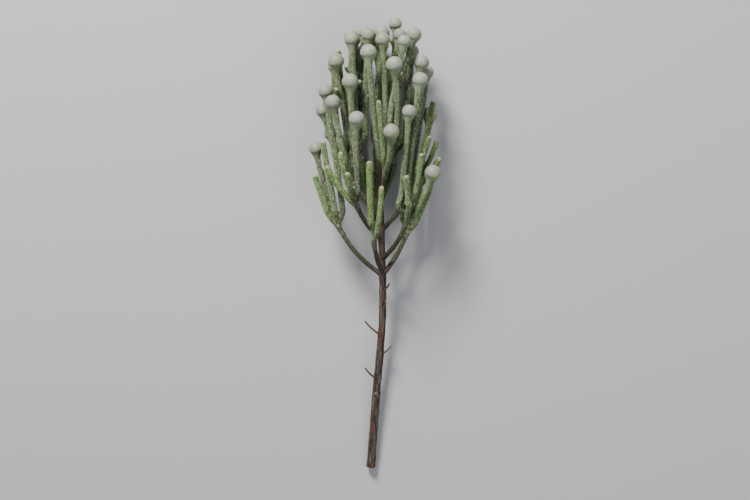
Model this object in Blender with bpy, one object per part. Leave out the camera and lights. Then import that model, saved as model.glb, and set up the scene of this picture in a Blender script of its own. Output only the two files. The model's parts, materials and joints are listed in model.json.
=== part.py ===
"""A cut brunia sprig that lies on a surface: a woody stem, leafy sprays and round flower heads.

The sprig grows along +Y. Its skeleton comes first, as centre lines. Those of the shoots are then
crowded until shoots and heads press against each other without crossing. Last, the wood, the
scale leaves and the florets are modelled on them.
"""

import math
import random

import bmesh
import bpy
import numpy as np
from mathutils import Vector

# All sizes are in metres. A lean is what is added to a direction, as a share of its length.
SEED = 11
GOLDEN_ANGLE = math.pi * (3 - math.sqrt(5))
GOLDEN_SHARE = 0.618
UP = np.array((0.0, 1.0, 0.0))

# The middle of the sprig's outline, which becomes the origin, and the gap between seated pieces
MIDDLE = np.array((-0.0030, 0.2141, 0.0))
FIT = 0.0003

# The woody stem: its centre line from the cut end up, and its radius at both ends
STEM_ROUTE = ((-0.007, 0.000, 0.0043), (-0.002, 0.070, 0.0100), (0.004, 0.150, 0.0185),
              (0.003, 0.225, 0.0290), (0.000, 0.300, 0.038))
STEM_RADIUS = (0.0043, 0.0025)

# The woody branches: how they leave the stem, and how they lean along it at both ends
BRANCH_COUNT = 12
BRANCH_RADIUS = (0.0022, 0.0018)
BRANCH_ANGLE = math.radians(40)
BRANCH_LEAN = (-0.25, 0.5)
LOWEST_BRANCH_END = 0.012

# The broken twigs on the stem: where along it, how far round it, and their own shape
TWIG_COUNT = 6
TWIG_RADIUS = (0.0011, 0.0007)
TWIG_ZONE = (0.055, 0.185)
TWIG_LENGTH = (0.012, 0.026)
TWIG_FAN = 0.42
TWIG_TURN = 2.4
TWIG_RISE = 0.9
TWIG_LEAN = (-0.2, 0.6)

# The crown: woody branches end on an inner dome and shoots on an outer one, both with a flat top
CROWN_FOCUS = np.array((0.0, 0.204, 0.040))
BRANCH_DOME = np.array((0.034, 0.100, 0.024))
BRANCH_DROP = 0.85
BRANCH_SPREAD = math.radians(86)
BRANCH_TURN = 0.4
TIP_DOME = np.array((0.062, 0.219, 0.046))
TIP_DROP = 0.62
TIP_COUNT = 64
TIP_SPREAD = math.radians(84)
TIP_TURN = 1.1

# The leafy shoots: how far they reach towards their tips, how they lean, and their buds
AXIS_LENGTH = 0.022
AXIS_RADIUS = 0.0027
SHOOT_RADIUS = (0.0024, 0.0030)
HEADED_REACH = (0.93, 1.02)
BARE_REACH = (0.78, 0.96)
SPREAD_LEAN = 0.6
SEAT_LEAN = 0.2
RISE_LEAN = 0.75
SWAY = 0.12
BUD_COUNT = 10
BUD_LENGTH = 0.012
BUD_RADIUS = 0.0020
BUD_PLACE = (0.45, 0.65)
BUD_LEAN = (1.5, 0.5)
BUD_TRIES = 9
BUD_SHOOT_POINTS = 11

# The flower heads: their size, how likely one is at a height in the crown, and the neck below the
# ball, which sits on its shoot NECK_SEAT radii from the middle and needs the room of NECK_ROOM radii
HEAD_RADIUS = (0.0060, 0.0076)
HEAD_HEIGHT = (0.50, 0.80)
HEAD_CHANCE = (0.08, 0.93)
NECK_SEAT = 1.65
NECK_RADIUS = 0.0025
NECK_ROOM = 0.62

# The skeleton's points: how far apart they are, and how fine the curves they come from
STEP = 0.004
SWEEP_POINTS = 25
CURVE_POINTS = 12
SIDE_START = (0.31, 0.0, 0.95)

# How shoots crowd: their room, the roots and seats left out of it, and how hard they push
CLEARANCE = 0.0006
ROOT_ZONE = 0.011
SEAT_POINTS = 3
NEAR = 0.004
PUSH = 0.6
STIFFNESS = 0.35
CROWD_ROUNDS = 260
SETTLE_ROUNDS = 60
PAIR_ROUNDS = 10

# The two heads that the crown rests on: how deep they are pressed, and where they are looked for
REST_SINK = 0.0006
REST_REACH = 0.020
REST_BEYOND = 0.350

# Relief of a shoot: scale leaves wind up it five to a turn, every second one raised
LEAF_TURN = 5
LEAF_PITCH = 0.0053
LEAF_VALLEY = 0.76
LEAF_LIFT = 0.0012
TIP_TAPER = 0.28
END_MARGIN = 0.0012

# Relief of a head: florets in a spiral, every third one raised, and the sides of its neck
FLORETS = 46
RAISED_EVERY = 3
FLORET_VALLEY = 0.93
NECK_SIDES = 6

# The wood's tubes: sides, ring distance, and the angle above which an edge shades as sharp
STEM_SIDES = 8
STEM_RING = 0.011
BRANCH_SIDES = 6
BRANCH_RING = 0.009
SHARP_ANGLE = math.radians(50)
WELD = 0.00001

# Colour and roughness of the three plain materials
BARK = ((0.045, 0.026, 0.019), 0.75)
FOLIAGE = ((0.115, 0.165, 0.085), 0.7)
VELVET = ((0.42, 0.43, 0.38), 0.85)


class Rod:
    """A length of wood or shoot: a centre line, a radius at both ends and, on a shoot, its head."""

    def __init__(self, kind, spray, points, radius, head=0.0):
        self.kind = kind
        self.spray = spray
        self.points = points
        self.radius = radius
        self.head = head


def unit(vector):
    return vector / np.linalg.norm(vector)


def between(ends, share):
    return ends[0] + share * (ends[1] - ends[0])


def evenly(points, step):
    """The same line with its points evenly spaced, about step apart."""
    gaps = np.linalg.norm(np.diff(points, axis=0), axis=1)
    along = np.concatenate([[0], np.cumsum(gaps)])
    stations = np.linspace(0, along[-1], max(2, round(along[-1] / step)) + 1)
    return np.stack([np.interp(stations, along, points[:, axis]) for axis in range(3)], axis=1)


def through(points, step):
    """A Catmull-Rom curve through the points, its own points about step apart."""
    p = np.asarray(points, float)
    p = np.vstack([2 * p[0] - p[1], p, 2 * p[-1] - p[-2]])
    t = np.linspace(0, 1, CURVE_POINTS, endpoint=False)[:, None]
    pieces = [0.5 * (2 * b + (c - a) * t + (2 * a - 5 * b + 4 * c - d) * t ** 2
                     + (3 * b - a - 3 * c + d) * t ** 3)
              for a, b, c, d in zip(p[:-3], p[1:-2], p[2:-1], p[3:])]
    return evenly(np.vstack(pieces + [p[-2:-1]]), step)


def sweep(start, start_way, end, end_way, step=STEP):
    """A smooth curve that leaves start along start_way and arrives at end along end_way."""
    reach = np.linalg.norm(end - start)
    t = np.linspace(0, 1, SWEEP_POINTS)[:, None]
    curve = ((2 * t ** 3 - 3 * t ** 2 + 1) * start + (t ** 3 - 2 * t ** 2 + t) * reach * start_way
             + (3 * t ** 2 - 2 * t ** 3) * end + (t ** 3 - t ** 2) * reach * end_way)
    return evenly(curve, step)


def cap_directions(count, widest, turn):
    """Unit directions spread evenly over a cap round +Y, from its middle outwards."""
    y = 1 - (1 - math.cos(widest)) * (np.arange(count) + 0.5) / count
    angle = turn + np.arange(count) * GOLDEN_ANGLE
    side = np.sqrt(1 - y * y)
    return np.stack([side * np.cos(angle), y, side * np.sin(angle)], axis=1)


def on_dome(way, dome, drop):
    """The place on a flat-topped dome round the crown's focus, in a unit direction from it."""
    side = 1 - way[1] ** 2
    return CROWN_FOCUS + dome * np.array((way[0], 1 - drop * side ** 2, way[2]))


def grow_branches(stem):
    """The woody branches, each from a fork on the stem to its end on the inner dome."""
    branches = []
    ways = cap_directions(BRANCH_COUNT, BRANCH_SPREAD, BRANCH_TURN)
    for spray, way in enumerate(ways[1:], 1):
        end = on_dome(way, BRANCH_DOME, BRANCH_DROP)
        end[2] = max(end[2], LOWEST_BRANCH_END)
        side = math.hypot(end[0] - CROWN_FOCUS[0], end[2] - CROWN_FOCUS[2])
        fork = np.argmin(np.abs(stem.points[:, 1] - end[1] + side / math.tan(BRANCH_ANGLE)))
        start = stem.points[fork]
        out = unit(end - start)
        line = sweep(start, unit(out + BRANCH_LEAN[0] * UP), end, unit(out + BRANCH_LEAN[1] * UP))
        branches.append(Rod("branch", spray, line, BRANCH_RADIUS))
    return branches


def grow_twigs(stem):
    """The short broken twigs on the bare part of the stem."""
    twigs = []
    for k in range(TWIG_COUNT):
        y = between(TWIG_ZONE, (k + 0.5) / TWIG_COUNT)
        start = stem.points[np.argmin(np.abs(stem.points[:, 1] - y))]
        angle = math.pi * (0.5 + TWIG_FAN * math.sin(TWIG_TURN * k))
        out = np.array((math.cos(angle), TWIG_RISE, math.sin(angle)))
        end = start + unit(out) * between(TWIG_LENGTH, k * GOLDEN_SHARE % 1)
        line = sweep(start, unit(out + TWIG_LEAN[0] * UP), end, unit(out + TWIG_LEAN[1] * UP))
        twigs.append(Rod("twig", 0, line, TWIG_RADIUS))
    return twigs


def grow_spray(spray, seat_rod, tips, draw):
    """A leafy axis on the end of its branch, and a shoot from it to each tip."""
    seat = seat_rod.points[-1]
    seat_way = unit(seat - seat_rod.points[-2])
    aim = unit(np.mean(tips, axis=0) - seat)
    line = sweep(seat + STEP * seat_way, seat_way, seat + AXIS_LENGTH * aim, aim)
    axis = Rod("axis", spray, np.vstack([seat, line]), (AXIS_RADIUS, AXIS_RADIUS))
    rods = [axis]
    tips = sorted(tips, key=lambda tip: unit(tip - seat) @ aim)
    top = len(axis.points) - 1
    for place, tip in enumerate(tips):
        share = (place + 0.5) / len(tips)
        start = axis.points[1 + int(share * (top - 2))]
        height = (tip[1] - CROWN_FOCUS[1]) / TIP_DOME[1]
        chance = np.interp(height, HEAD_HEIGHT, HEAD_CHANCE)
        head = draw.uniform(*HEAD_RADIUS) if draw.random() < chance else 0.0
        reach = draw.uniform(*(HEADED_REACH if head else BARE_REACH))
        tip = start + (tip - start) * reach
        tip[2] = max(tip[2], head, SHOOT_RADIUS[1])
        out = unit(tip - start)
        sway = np.array([draw.gauss(0, SWAY) for axis in range(3)])
        start_way = unit(out + SPREAD_LEAN * (out - aim) + SEAT_LEAN * seat_way + sway)
        line = sweep(start, start_way, tip, unit(out + RISE_LEAN * UP - sway))
        radius = draw.uniform(*SHOOT_RADIUS)
        rods.append(Rod("shoot", spray, line, (radius, radius), head))
    return rods


def resting_rods(rods):
    """The two headed shoots that the crown rests on, the lowest at each side."""
    far = [rod for rod in rods if rod.head and rod.points[-1][1] > REST_BEYOND]
    resting = []
    for side in (-1, 1):
        outer = [rod for rod in far if side * rod.points[-1][0] > REST_REACH]
        resting.append(min(outer, key=lambda rod: rod.points[-1][2]))
    return resting


class Crowd:
    """All rods' points in one array, with what holds them, so that they can be pushed apart."""

    def __init__(self, rods, resting):
        counts = np.array([len(rod.points) for rod in rods])
        self.rods = rods
        self.first = np.concatenate([[0], np.cumsum(counts)])
        self.points = np.vstack([rod.points for rod in rods])
        self.rod = np.repeat(np.arange(len(rods)), counts)
        self.spray = np.array([rod.spray for rod in rods])[self.rod]
        self.step = np.array([np.linalg.norm(rod.points[1] - rod.points[0]) for rod in rods])[self.rod]
        place = np.arange(len(self.rod)) - self.first[self.rod]
        last = place == counts[self.rod] - 1
        share = place / (counts[self.rod] - 1)
        ends = np.array([rod.radius for rod in rods])[self.rod]
        width = ends[:, 0] + (ends[:, 1] - ends[:, 0]) * share
        head = np.array([rod.head for rod in rods])[self.rod]
        kinds = np.array([rod.kind for rod in rods])[self.rod]
        self.along = place * self.step
        below = (counts[self.rod] - 1 - place) * self.step
        self.is_head = last & (head > 0)
        self.size = np.hypot(width, self.step / 2)
        on_neck = below < NECK_SEAT * head
        self.size[on_neck] = np.maximum(self.size, NECK_ROOM * head)[on_neck]
        self.size[self.is_head] = head[self.is_head]
        self.held = (kinds != "shoot") | (place == 0)
        self.give = np.where(self.held, 0.0, np.minimum(1.0, self.along / (2 * ROOT_ZONE)))
        self.seated = np.isin(kinds, ("stem", "branch")) & (counts[self.rod] - place <= SEAT_POINTS)
        self.inner = np.flatnonzero(~self.held & ~last)
        self.bend = self.middles() - self.points[self.inner]
        self.resting = np.array([self.first[rods.index(rod) + 1] - 1 for rod in resting])
        shoots = [self.first[k] + np.arange(1, counts[k])
                  for k in range(len(rods)) if rods[k].kind == "shoot"]
        longest = max(len(line) for line in shoots)
        self.levels = [np.array([line[k] for line in shoots if len(line) > k])
                       for k in range(longest)]

    def middles(self):
        return (self.points[self.inner - 1] + self.points[self.inner + 1]) / 2

    def neighbours(self):
        """Pairs of points that may come to touch, and how far apart each pair has to be."""
        distance = np.linalg.norm(self.points[:, None] - self.points[None], axis=2)
        gap = distance - self.size[:, None] - self.size
        i, j = np.nonzero(np.triu(gap < NEAR, 1))
        kin = (self.spray[i] == self.spray[j]) & ~self.is_head[i] & ~self.is_head[j]
        rooted = (self.along[i] < ROOT_ZONE) | (self.along[j] < ROOT_ZONE)
        rooted |= self.seated[i] | self.seated[j]
        keep = (self.rod[i] != self.rod[j]) & ~(self.held[i] & self.held[j]) & ~(kin & rooted)
        i, j, kin = i[keep], j[keep], kin[keep]
        return i, j, self.size[i] + self.size[j] + np.where(kin, 0.0, CLEARANCE)

    def push_apart(self, i, j, apart):
        way = self.points[i] - self.points[j]
        distance = np.linalg.norm(way, axis=1)
        give = np.maximum(self.give[i] + self.give[j], 1e-9)
        push = PUSH * (np.maximum(0, apart - distance) / (distance * give))[:, None] * way
        np.add.at(self.points, i, push * self.give[i][:, None])
        np.add.at(self.points, j, -push * self.give[j][:, None])

    def keep_lengths(self):
        for level in self.levels:
            way = self.points[level] - self.points[level - 1]
            reach = self.step[level] / np.linalg.norm(way, axis=1)
            self.points[level] = self.points[level - 1] + way * reach[:, None]

    def keep_off_ground(self):
        loose = ~self.held
        self.points[loose, 2] = np.maximum(self.points[loose, 2], self.size[loose] + CLEARANCE)
        self.points[self.resting, 2] = self.size[self.resting] - REST_SINK

    def settle(self):
        for turn in range(CROWD_ROUNDS):
            if turn % PAIR_ROUNDS == 0:
                i, j, apart = self.neighbours()
            if turn < CROWD_ROUNDS - SETTLE_ROUNDS:
                straight = self.middles() - self.points[self.inner]
                self.points[self.inner] += STIFFNESS * (straight - self.bend)
            self.push_apart(i, j, apart)
            self.keep_off_ground()
            self.keep_lengths()
            self.points[self.resting, 2] = self.size[self.resting] - REST_SINK
        for k, rod in enumerate(self.rods):
            rod.points = self.points[self.first[k]:self.first[k + 1]]


def grow_buds(rods):
    """Short side shoots on the long shoots, where there is room for them."""
    points = np.vstack([rod.points for rod in rods])
    owner = np.repeat(np.arange(len(rods)), [len(rod.points) for rod in rods])
    size = np.array([rod.head or max(rod.radius) for rod in rods])[owner]
    buds = []
    for k, rod in enumerate(rods):
        if rod.kind != "shoot" or len(rod.points) < BUD_SHOOT_POINTS or len(buds) == BUD_COUNT:
            continue
        place = round(len(rod.points) * between(BUD_PLACE, k * GOLDEN_SHARE % 1))
        start = rod.points[place]
        way = unit(rod.points[place + 1] - start)
        for attempt in range(BUD_TRIES):
            angle = (k + attempt) * GOLDEN_ANGLE
            side = unit(np.cross(way, (math.cos(angle), 0.0, math.sin(angle))))
            end = start + BUD_LENGTH * unit(way + side)
            start_way, end_way = unit(way + BUD_LEAN[0] * side), unit(way + BUD_LEAN[1] * side)
            line = sweep(start, start_way, end, end_way, STEP / 2)
            others = owner != k
            distance = np.linalg.norm(line[:, None] - points[others][None], axis=2)
            gap = distance - size[others] - BUD_RADIUS
            if gap.min() > 2 * CLEARANCE and line[:, 2].min() > BUD_RADIUS + CLEARANCE:
                buds.append(Rod("bud", rod.spray, line, (BUD_RADIUS, BUD_RADIUS)))
                points = np.vstack([points, line])
                owner = np.concatenate([owner, np.full(len(line), -1)])
                size = np.concatenate([size, np.full(len(line), BUD_RADIUS)])
                break
    return buds


def grow_sprig():
    """Every rod of the sprig, crowded and shifted so that the origin is under its middle."""
    draw = random.Random(SEED)
    stem = Rod("stem", 0, through(STEM_ROUTE, STEP), STEM_RADIUS)
    branches = grow_branches(stem)
    rods = [stem] + branches + grow_twigs(stem)
    branch_ways = cap_directions(BRANCH_COUNT, BRANCH_SPREAD, BRANCH_TURN)
    tip_ways = cap_directions(TIP_COUNT, TIP_SPREAD, TIP_TURN)
    nearest = np.argmax(tip_ways @ branch_ways.T, axis=1)
    for spray, seat in enumerate([stem] + branches):
        tips = [on_dome(way, TIP_DOME, TIP_DROP) for way in tip_ways[nearest == spray]]
        rods += grow_spray(spray, seat, tips, draw)
    Crowd(rods, resting_rods(rods)).settle()
    rods += grow_buds(rods)
    for rod in rods:
        rod.points = rod.points - MIDDLE
    return rods


class Course:
    """A centre line with the distance along it, its direction and a side that hardly twists."""

    def __init__(self, points):
        self.points = points
        gaps = np.linalg.norm(np.diff(points, axis=0), axis=1)
        self.along = np.concatenate([[0], np.cumsum(gaps)])
        self.length = self.along[-1]
        self.ways = np.gradient(points, self.along, axis=0)
        self.ways /= np.linalg.norm(self.ways, axis=1)[:, None]
        side = np.cross(self.ways[0], SIDE_START)
        self.sides = []
        for way in self.ways:
            side = unit(side - way * (side @ way))
            self.sides.append(side)

    def spot(self, station, angle=0.0, reach=0.0):
        """The place at a distance along the line, reach off it in the direction of angle."""
        centre, way, side = (np.array([np.interp(station, self.along, np.asarray(row)[:, axis])
                                       for axis in range(3)])
                             for row in (self.points, self.ways, self.sides))
        across = np.cross(way, side)
        return centre + reach * (math.cos(angle) * side + math.sin(angle) * across)


def wind_leaves(shoot, course, radius, low, high, seated):
    """Vertices that wind up a shoot, every second one lifted as a leaf's tip, and faces between."""
    turns = max(1, round((high - low - LEAF_LIFT) / LEAF_PITCH))
    pitch = (high - low - LEAF_LIFT) / turns
    winding = []
    for n in range(turns * LEAF_TURN + 1):
        raised = n % 2 == 0
        station = low + n / LEAF_TURN * pitch + (LEAF_LIFT if raised else 0.0)
        blunt = 1.0 if seated else min(1.0, 1.0 - TIP_TAPER + TIP_TAPER * (high - station) / pitch)
        reach = radius * blunt * (1.0 if raised else LEAF_VALLEY)
        winding.append(shoot.verts.new(course.spot(station, n * 2 * math.pi / LEAF_TURN, reach)))
    for n in range(len(winding) - LEAF_TURN - 1):
        a, b, c, d = winding[n], winding[n + 1], winding[n + LEAF_TURN + 1], winding[n + LEAF_TURN]
        low_valley, high_valley, one, other = (b, d, a, c) if n % 2 == 0 else (a, c, b, d)
        shoot.faces.new((low_valley, high_valley, one))
        shoot.faces.new((high_valley, low_valley, other))
    return winding


def close_on_seat(shoot, course, radius, station, loop, lead):
    """A flat end across a shoot, joined to the winding's last turn."""
    corner = 2 * math.pi / LEAF_TURN
    ring = [shoot.verts.new(course.spot(station, lead + k * corner, radius * LEAF_VALLEY))
            for k in range(LEAF_TURN)]
    for k in range(LEAF_TURN):
        shoot.faces.new((ring[k], loop[k], loop[k + 1]))
        shoot.faces.new((ring[k], loop[k + 1], ring[(k + 1) % LEAF_TURN]))
    shoot.faces.new((ring[0], loop[0], loop[-1]))
    shoot.faces.new(ring)


def scaly_tube(points, radius, seat_below, seat_above):
    """A shoot covered in scale leaves.

    A seat is a flat end, with the distance between it and the line's end. Without one, a shoot
    starts as a blunt root and ends in a blunt tip.
    """
    course = Course(points)
    shoot = bmesh.new()
    low = 0.0 if seat_below is None else seat_below + END_MARGIN
    high = course.length - END_MARGIN - (seat_above or 0.0)
    winding = wind_leaves(shoot, course, radius, low, high, seat_above is not None)
    first, last = winding[:LEAF_TURN + 1], winding[-LEAF_TURN - 1:]
    if seat_below is None:
        shoot.faces.new(first)
    else:
        close_on_seat(shoot, course, radius, seat_below, first, 0.0)
    if seat_above is None:
        tip = shoot.verts.new(course.spot(course.length))
        for k in range(LEAF_TURN + 1):
            shoot.faces.new((last[k - 1], last[k], tip))
    else:
        lead = (len(winding) - LEAF_TURN - 1) * 2 * math.pi / LEAF_TURN
        close_on_seat(shoot, course, radius, course.length - seat_above, last, lead)
    bmesh.ops.recalc_face_normals(shoot, faces=shoot.faces)
    return shoot


def press_flat(head):
    """Cuts off what is below the ground and closes the cut."""
    cut = bmesh.ops.bisect_plane(head, geom=head.verts[:] + head.edges[:] + head.faces[:],
                                 plane_co=(0, 0, 0), plane_no=(0, 0, -1), clear_outer=True)
    rim = [item for item in cut["geom_cut"] if isinstance(item, bmesh.types.BMEdge)]
    bmesh.ops.contextual_create(head, geom=rim)


def floret_head(points, radius):
    """A ball of florets in a golden-angle spiral, drawn in below to the seat on its shoot."""
    head = bmesh.new()
    course = Course(points)
    middle = Vector(points[-1])
    turn = Vector((0, 0, 1)).rotation_difference(Vector(points[-1] - points[-2]))
    for k in range(FLORETS):
        height = 1 - 2 * (k + 0.5) / FLORETS
        side = math.sqrt(1 - height * height)
        angle = k * GOLDEN_ANGLE
        spot = Vector((side * math.cos(angle), side * math.sin(angle), height))
        head.verts.new(middle + radius * (turn @ spot))
    head.verts.ensure_lookup_table()
    valleys = [head.verts[k] for k in range(FLORETS) if k % RAISED_EVERY]
    for k in range(NECK_SIDES):
        angle = 2 * math.pi * k / NECK_SIDES
        head.verts.new(course.spot(course.length - NECK_SEAT * radius, angle, NECK_RADIUS))
    hull = bmesh.ops.convex_hull(head, input=head.verts)
    inside = {item for item in hull["geom_interior"] if isinstance(item, bmesh.types.BMVert)}
    if middle.z < radius:
        press_flat(head)
    for vert in valleys:
        if vert.is_valid and vert not in inside:
            vert.co = middle + FLORET_VALLEY * (vert.co - middle)
    bmesh.ops.delete(head, geom=[vert for vert in inside if vert.is_valid], context="VERTS")
    bmesh.ops.recalc_face_normals(head, faces=head.faces)
    return head


def sparser(points, step):
    """The same line with fewer points, but its last stretch unchanged, so that its end stays square."""
    return np.vstack([evenly(points[:-1], step), points[-1]])


def wood_tube(name, points, radius, sides):
    """A round length of wood as a mesh, made from a curve with a bevel and closed ends."""
    curve = bpy.data.curves.new(name, "CURVE")
    curve.dimensions = "3D"
    curve.bevel_depth = 1.0
    curve.bevel_resolution = (sides - 4) // 2
    curve.use_fill_caps = True
    line = curve.splines.new("POLY")
    line.points.add(len(points) - 1)
    for k, (spot, place) in enumerate(zip(line.points, points)):
        spot.co = (*place, 1)
        spot.radius = between(radius, k / (len(points) - 1))
    rod = bpy.data.objects.new(name, curve)
    bpy.context.scene.collection.objects.link(rod)
    bpy.context.view_layer.update()
    depsgraph = bpy.context.evaluated_depsgraph_get()
    mesh = bpy.data.meshes.new_from_object(rod.evaluated_get(depsgraph))
    bpy.data.objects.remove(rod)
    bpy.data.curves.remove(curve)
    tube = bmesh.new()
    tube.from_mesh(mesh)
    bmesh.ops.remove_doubles(tube, verts=tube.verts, dist=WELD)
    bpy.data.meshes.remove(mesh)
    return tube


def add_object(name, shape, material, collection):
    """Turns a finished shape into a named object with its material."""
    mesh = bpy.data.meshes.new(name)
    shape.to_mesh(mesh)
    shape.free()
    mesh.materials.append(material)
    piece = bpy.data.objects.new(name, mesh)
    collection.objects.link(piece)
    return piece


def keep_largest_shell(mesh):
    """Fills hollows that a union sealed, and drops its scraps."""
    shape = bmesh.new()
    shape.from_mesh(mesh)
    left = set(shape.verts)
    shells = []
    while left:
        start = left.pop()
        shell = {start}
        front = [start]
        while front:
            nears = {link.other_vert(vert) for vert in front for link in vert.link_edges}
            front = list(nears - shell)
            shell |= nears
        left -= shell
        shells.append(shell)
    shells.sort(key=len)
    for shell in shells[:-1]:
        bmesh.ops.delete(shape, geom=list(shell), context="VERTS")
    shape.to_mesh(mesh)
    shape.free()


def fuse(name, shapes, material, collection):
    """One object of overlapping shapes, joined by a Boolean union."""
    piece = add_object(name, shapes[0], material, collection)
    others = bpy.data.collections.new("others")
    bpy.context.scene.collection.children.link(others)
    for shape in shapes[1:]:
        add_object("other", shape, material, others)
    union = piece.modifiers.new("union", "BOOLEAN")
    union.operation = "UNION"
    union.operand_type = "COLLECTION"
    union.solver = "MANIFOLD"
    union.collection = others
    bpy.context.view_layer.update()
    depsgraph = bpy.context.evaluated_depsgraph_get()
    mesh = bpy.data.meshes.new_from_object(piece.evaluated_get(depsgraph))
    piece.modifiers.clear()
    piece.data = mesh
    keep_largest_shell(mesh)
    for other in list(others.objects):
        bpy.data.objects.remove(other)
    bpy.data.collections.remove(others)
    return piece


def plain_material(name, finish):
    material = bpy.data.materials.new(name)
    material.use_nodes = True
    colour, roughness = finish
    shader = material.node_tree.nodes["Principled BSDF"]
    shader.inputs["Base Color"].default_value = (*colour, 1.0)
    shader.inputs["Roughness"].default_value = roughness
    shader.inputs["Metallic"].default_value = 0.0
    return material


def build_wood(rods, collection):
    tubes = []
    for rod in rods:
        if rod.kind == "stem":
            tubes.append(wood_tube("stem", sparser(rod.points, STEM_RING), rod.radius, STEM_SIDES))
        elif rod.kind in ("branch", "twig"):
            line = sparser(rod.points, BRANCH_RING)
            tubes.append(wood_tube("branch", line, rod.radius, BRANCH_SIDES))
    wood = fuse("woody_stem", tubes, plain_material("bark", BARK), collection)
    wood.data.shade_smooth()
    wood.data.set_sharp_from_angle(angle=SHARP_ANGLE)


def build_sprays(rods, collection):
    foliage = plain_material("foliage", FOLIAGE)
    for spray in range(BRANCH_COUNT):
        tubes = []
        for rod in rods:
            if rod.spray != spray or rod.kind not in ("axis", "shoot", "bud"):
                continue
            seat_below = FIT if rod.kind == "axis" else None
            seat_above = NECK_SEAT * rod.head + FIT if rod.head else None
            tubes.append(scaly_tube(rod.points, rod.radius[0], seat_below, seat_above))
        fuse(f"leafy_spray_{spray + 1:02}", tubes, foliage, collection)


def build_heads(rods, collection):
    velvet = plain_material("flower_velvet", VELVET)
    headed = [rod for rod in rods if rod.head]
    for number, rod in enumerate(headed, 1):
        shape = floret_head(rod.points, rod.head)
        head = add_object(f"flower_head_{number:02}", shape, velvet, collection)
        head.data.shade_smooth()


def main():
    for thing in list(bpy.data.objects):
        bpy.data.objects.remove(thing)
    sprig = bpy.data.collections.new("brunia_sprig")
    bpy.context.scene.collection.children.link(sprig)
    rods = grow_sprig()
    build_wood(rods, sprig)
    build_sprays(rods, sprig)
    build_heads(rods, sprig)


main()
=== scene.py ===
"""The looks of a cut brunia sprig: bark, scale leaves one by one, and velvety heads of florets.

The sprig's skeleton is worked out as for its solids, so every fine piece stands where its solid is.
"""

import json
import math
import random

import bmesh
import bpy
import numpy as np
from mathutils import Matrix, Vector

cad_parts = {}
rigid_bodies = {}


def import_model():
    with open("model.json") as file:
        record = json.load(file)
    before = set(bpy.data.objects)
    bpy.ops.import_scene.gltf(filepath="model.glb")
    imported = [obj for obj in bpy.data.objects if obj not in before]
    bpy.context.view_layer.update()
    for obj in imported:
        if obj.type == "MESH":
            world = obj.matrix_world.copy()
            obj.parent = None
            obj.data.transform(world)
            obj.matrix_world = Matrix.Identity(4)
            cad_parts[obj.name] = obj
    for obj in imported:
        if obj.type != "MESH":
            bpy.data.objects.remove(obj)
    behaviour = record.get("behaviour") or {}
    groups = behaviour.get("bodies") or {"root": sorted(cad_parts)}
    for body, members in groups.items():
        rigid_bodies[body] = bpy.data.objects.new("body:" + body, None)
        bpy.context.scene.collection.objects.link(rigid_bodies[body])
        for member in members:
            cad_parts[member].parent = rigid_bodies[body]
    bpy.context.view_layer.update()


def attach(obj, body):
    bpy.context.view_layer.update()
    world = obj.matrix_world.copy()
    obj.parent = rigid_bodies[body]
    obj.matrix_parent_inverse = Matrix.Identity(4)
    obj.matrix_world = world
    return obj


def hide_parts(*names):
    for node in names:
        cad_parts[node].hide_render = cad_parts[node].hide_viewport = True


# The view: a long lens above the sprig, and soft light from beyond the heads
TARGET = (0.0, 0.0, 0.030)
CAMERA_PLACE = (0.0, 0.235, 1.66)
LENS = 85
CLIP_START = 0.05
KEY_LIGHT = ((-0.60, 1.65, 1.10), 0.6, 102, (1.0, 0.98, 0.95))
FILL_LIGHT = ((0.9, -0.6, 1.6), 1.6, 15, (0.95, 0.97, 1.0))
WORLD_STRENGTH = 0.42

# All sizes are in metres. A lean is what is added to a direction, as a share of its length.
SEED = 11
GOLDEN_ANGLE = math.pi * (3 - math.sqrt(5))
GOLDEN_SHARE = 0.618
UP = np.array((0.0, 1.0, 0.0))

# The middle of the sprig's outline, which becomes the origin
MIDDLE = np.array((-0.0030, 0.2141, 0.0))

# The woody stem: its centre line from the cut end up, and its radius at both ends
STEM_ROUTE = ((-0.007, 0.000, 0.0043), (-0.002, 0.070, 0.0100), (0.004, 0.150, 0.0185),
              (0.003, 0.225, 0.0290), (0.000, 0.300, 0.038))
STEM_RADIUS = (0.0043, 0.0025)

# The woody branches: how they leave the stem, and how they lean along it at both ends
BRANCH_COUNT = 12
BRANCH_RADIUS = (0.0022, 0.0018)
BRANCH_ANGLE = math.radians(40)
BRANCH_LEAN = (-0.25, 0.5)
LOWEST_BRANCH_END = 0.012

# The broken twigs on the stem: where along it, how far round it, and their own shape
TWIG_COUNT = 6
TWIG_RADIUS = (0.0011, 0.0007)
TWIG_ZONE = (0.055, 0.185)
TWIG_LENGTH = (0.012, 0.026)
TWIG_FAN = 0.42
TWIG_TURN = 2.4
TWIG_RISE = 0.9
TWIG_LEAN = (-0.2, 0.6)

# The crown: woody branches end on an inner dome and shoots on an outer one, both with a flat top
CROWN_FOCUS = np.array((0.0, 0.204, 0.040))
BRANCH_DOME = np.array((0.034, 0.100, 0.024))
BRANCH_DROP = 0.85
BRANCH_SPREAD = math.radians(86)
BRANCH_TURN = 0.4
TIP_DOME = np.array((0.062, 0.219, 0.046))
TIP_DROP = 0.62
TIP_COUNT = 64
TIP_SPREAD = math.radians(84)
TIP_TURN = 1.1

# The leafy shoots: how far they reach towards their tips, how they lean, and their buds
AXIS_LENGTH = 0.022
AXIS_RADIUS = 0.0027
SHOOT_RADIUS = (0.0024, 0.0030)
HEADED_REACH = (0.93, 1.02)
BARE_REACH = (0.78, 0.96)
SPREAD_LEAN = 0.6
SEAT_LEAN = 0.2
RISE_LEAN = 0.75
SWAY = 0.12
BUD_COUNT = 10
BUD_LENGTH = 0.012
BUD_RADIUS = 0.0020
BUD_PLACE = (0.45, 0.65)
BUD_LEAN = (1.5, 0.5)
BUD_TRIES = 9
BUD_SHOOT_POINTS = 11

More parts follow.
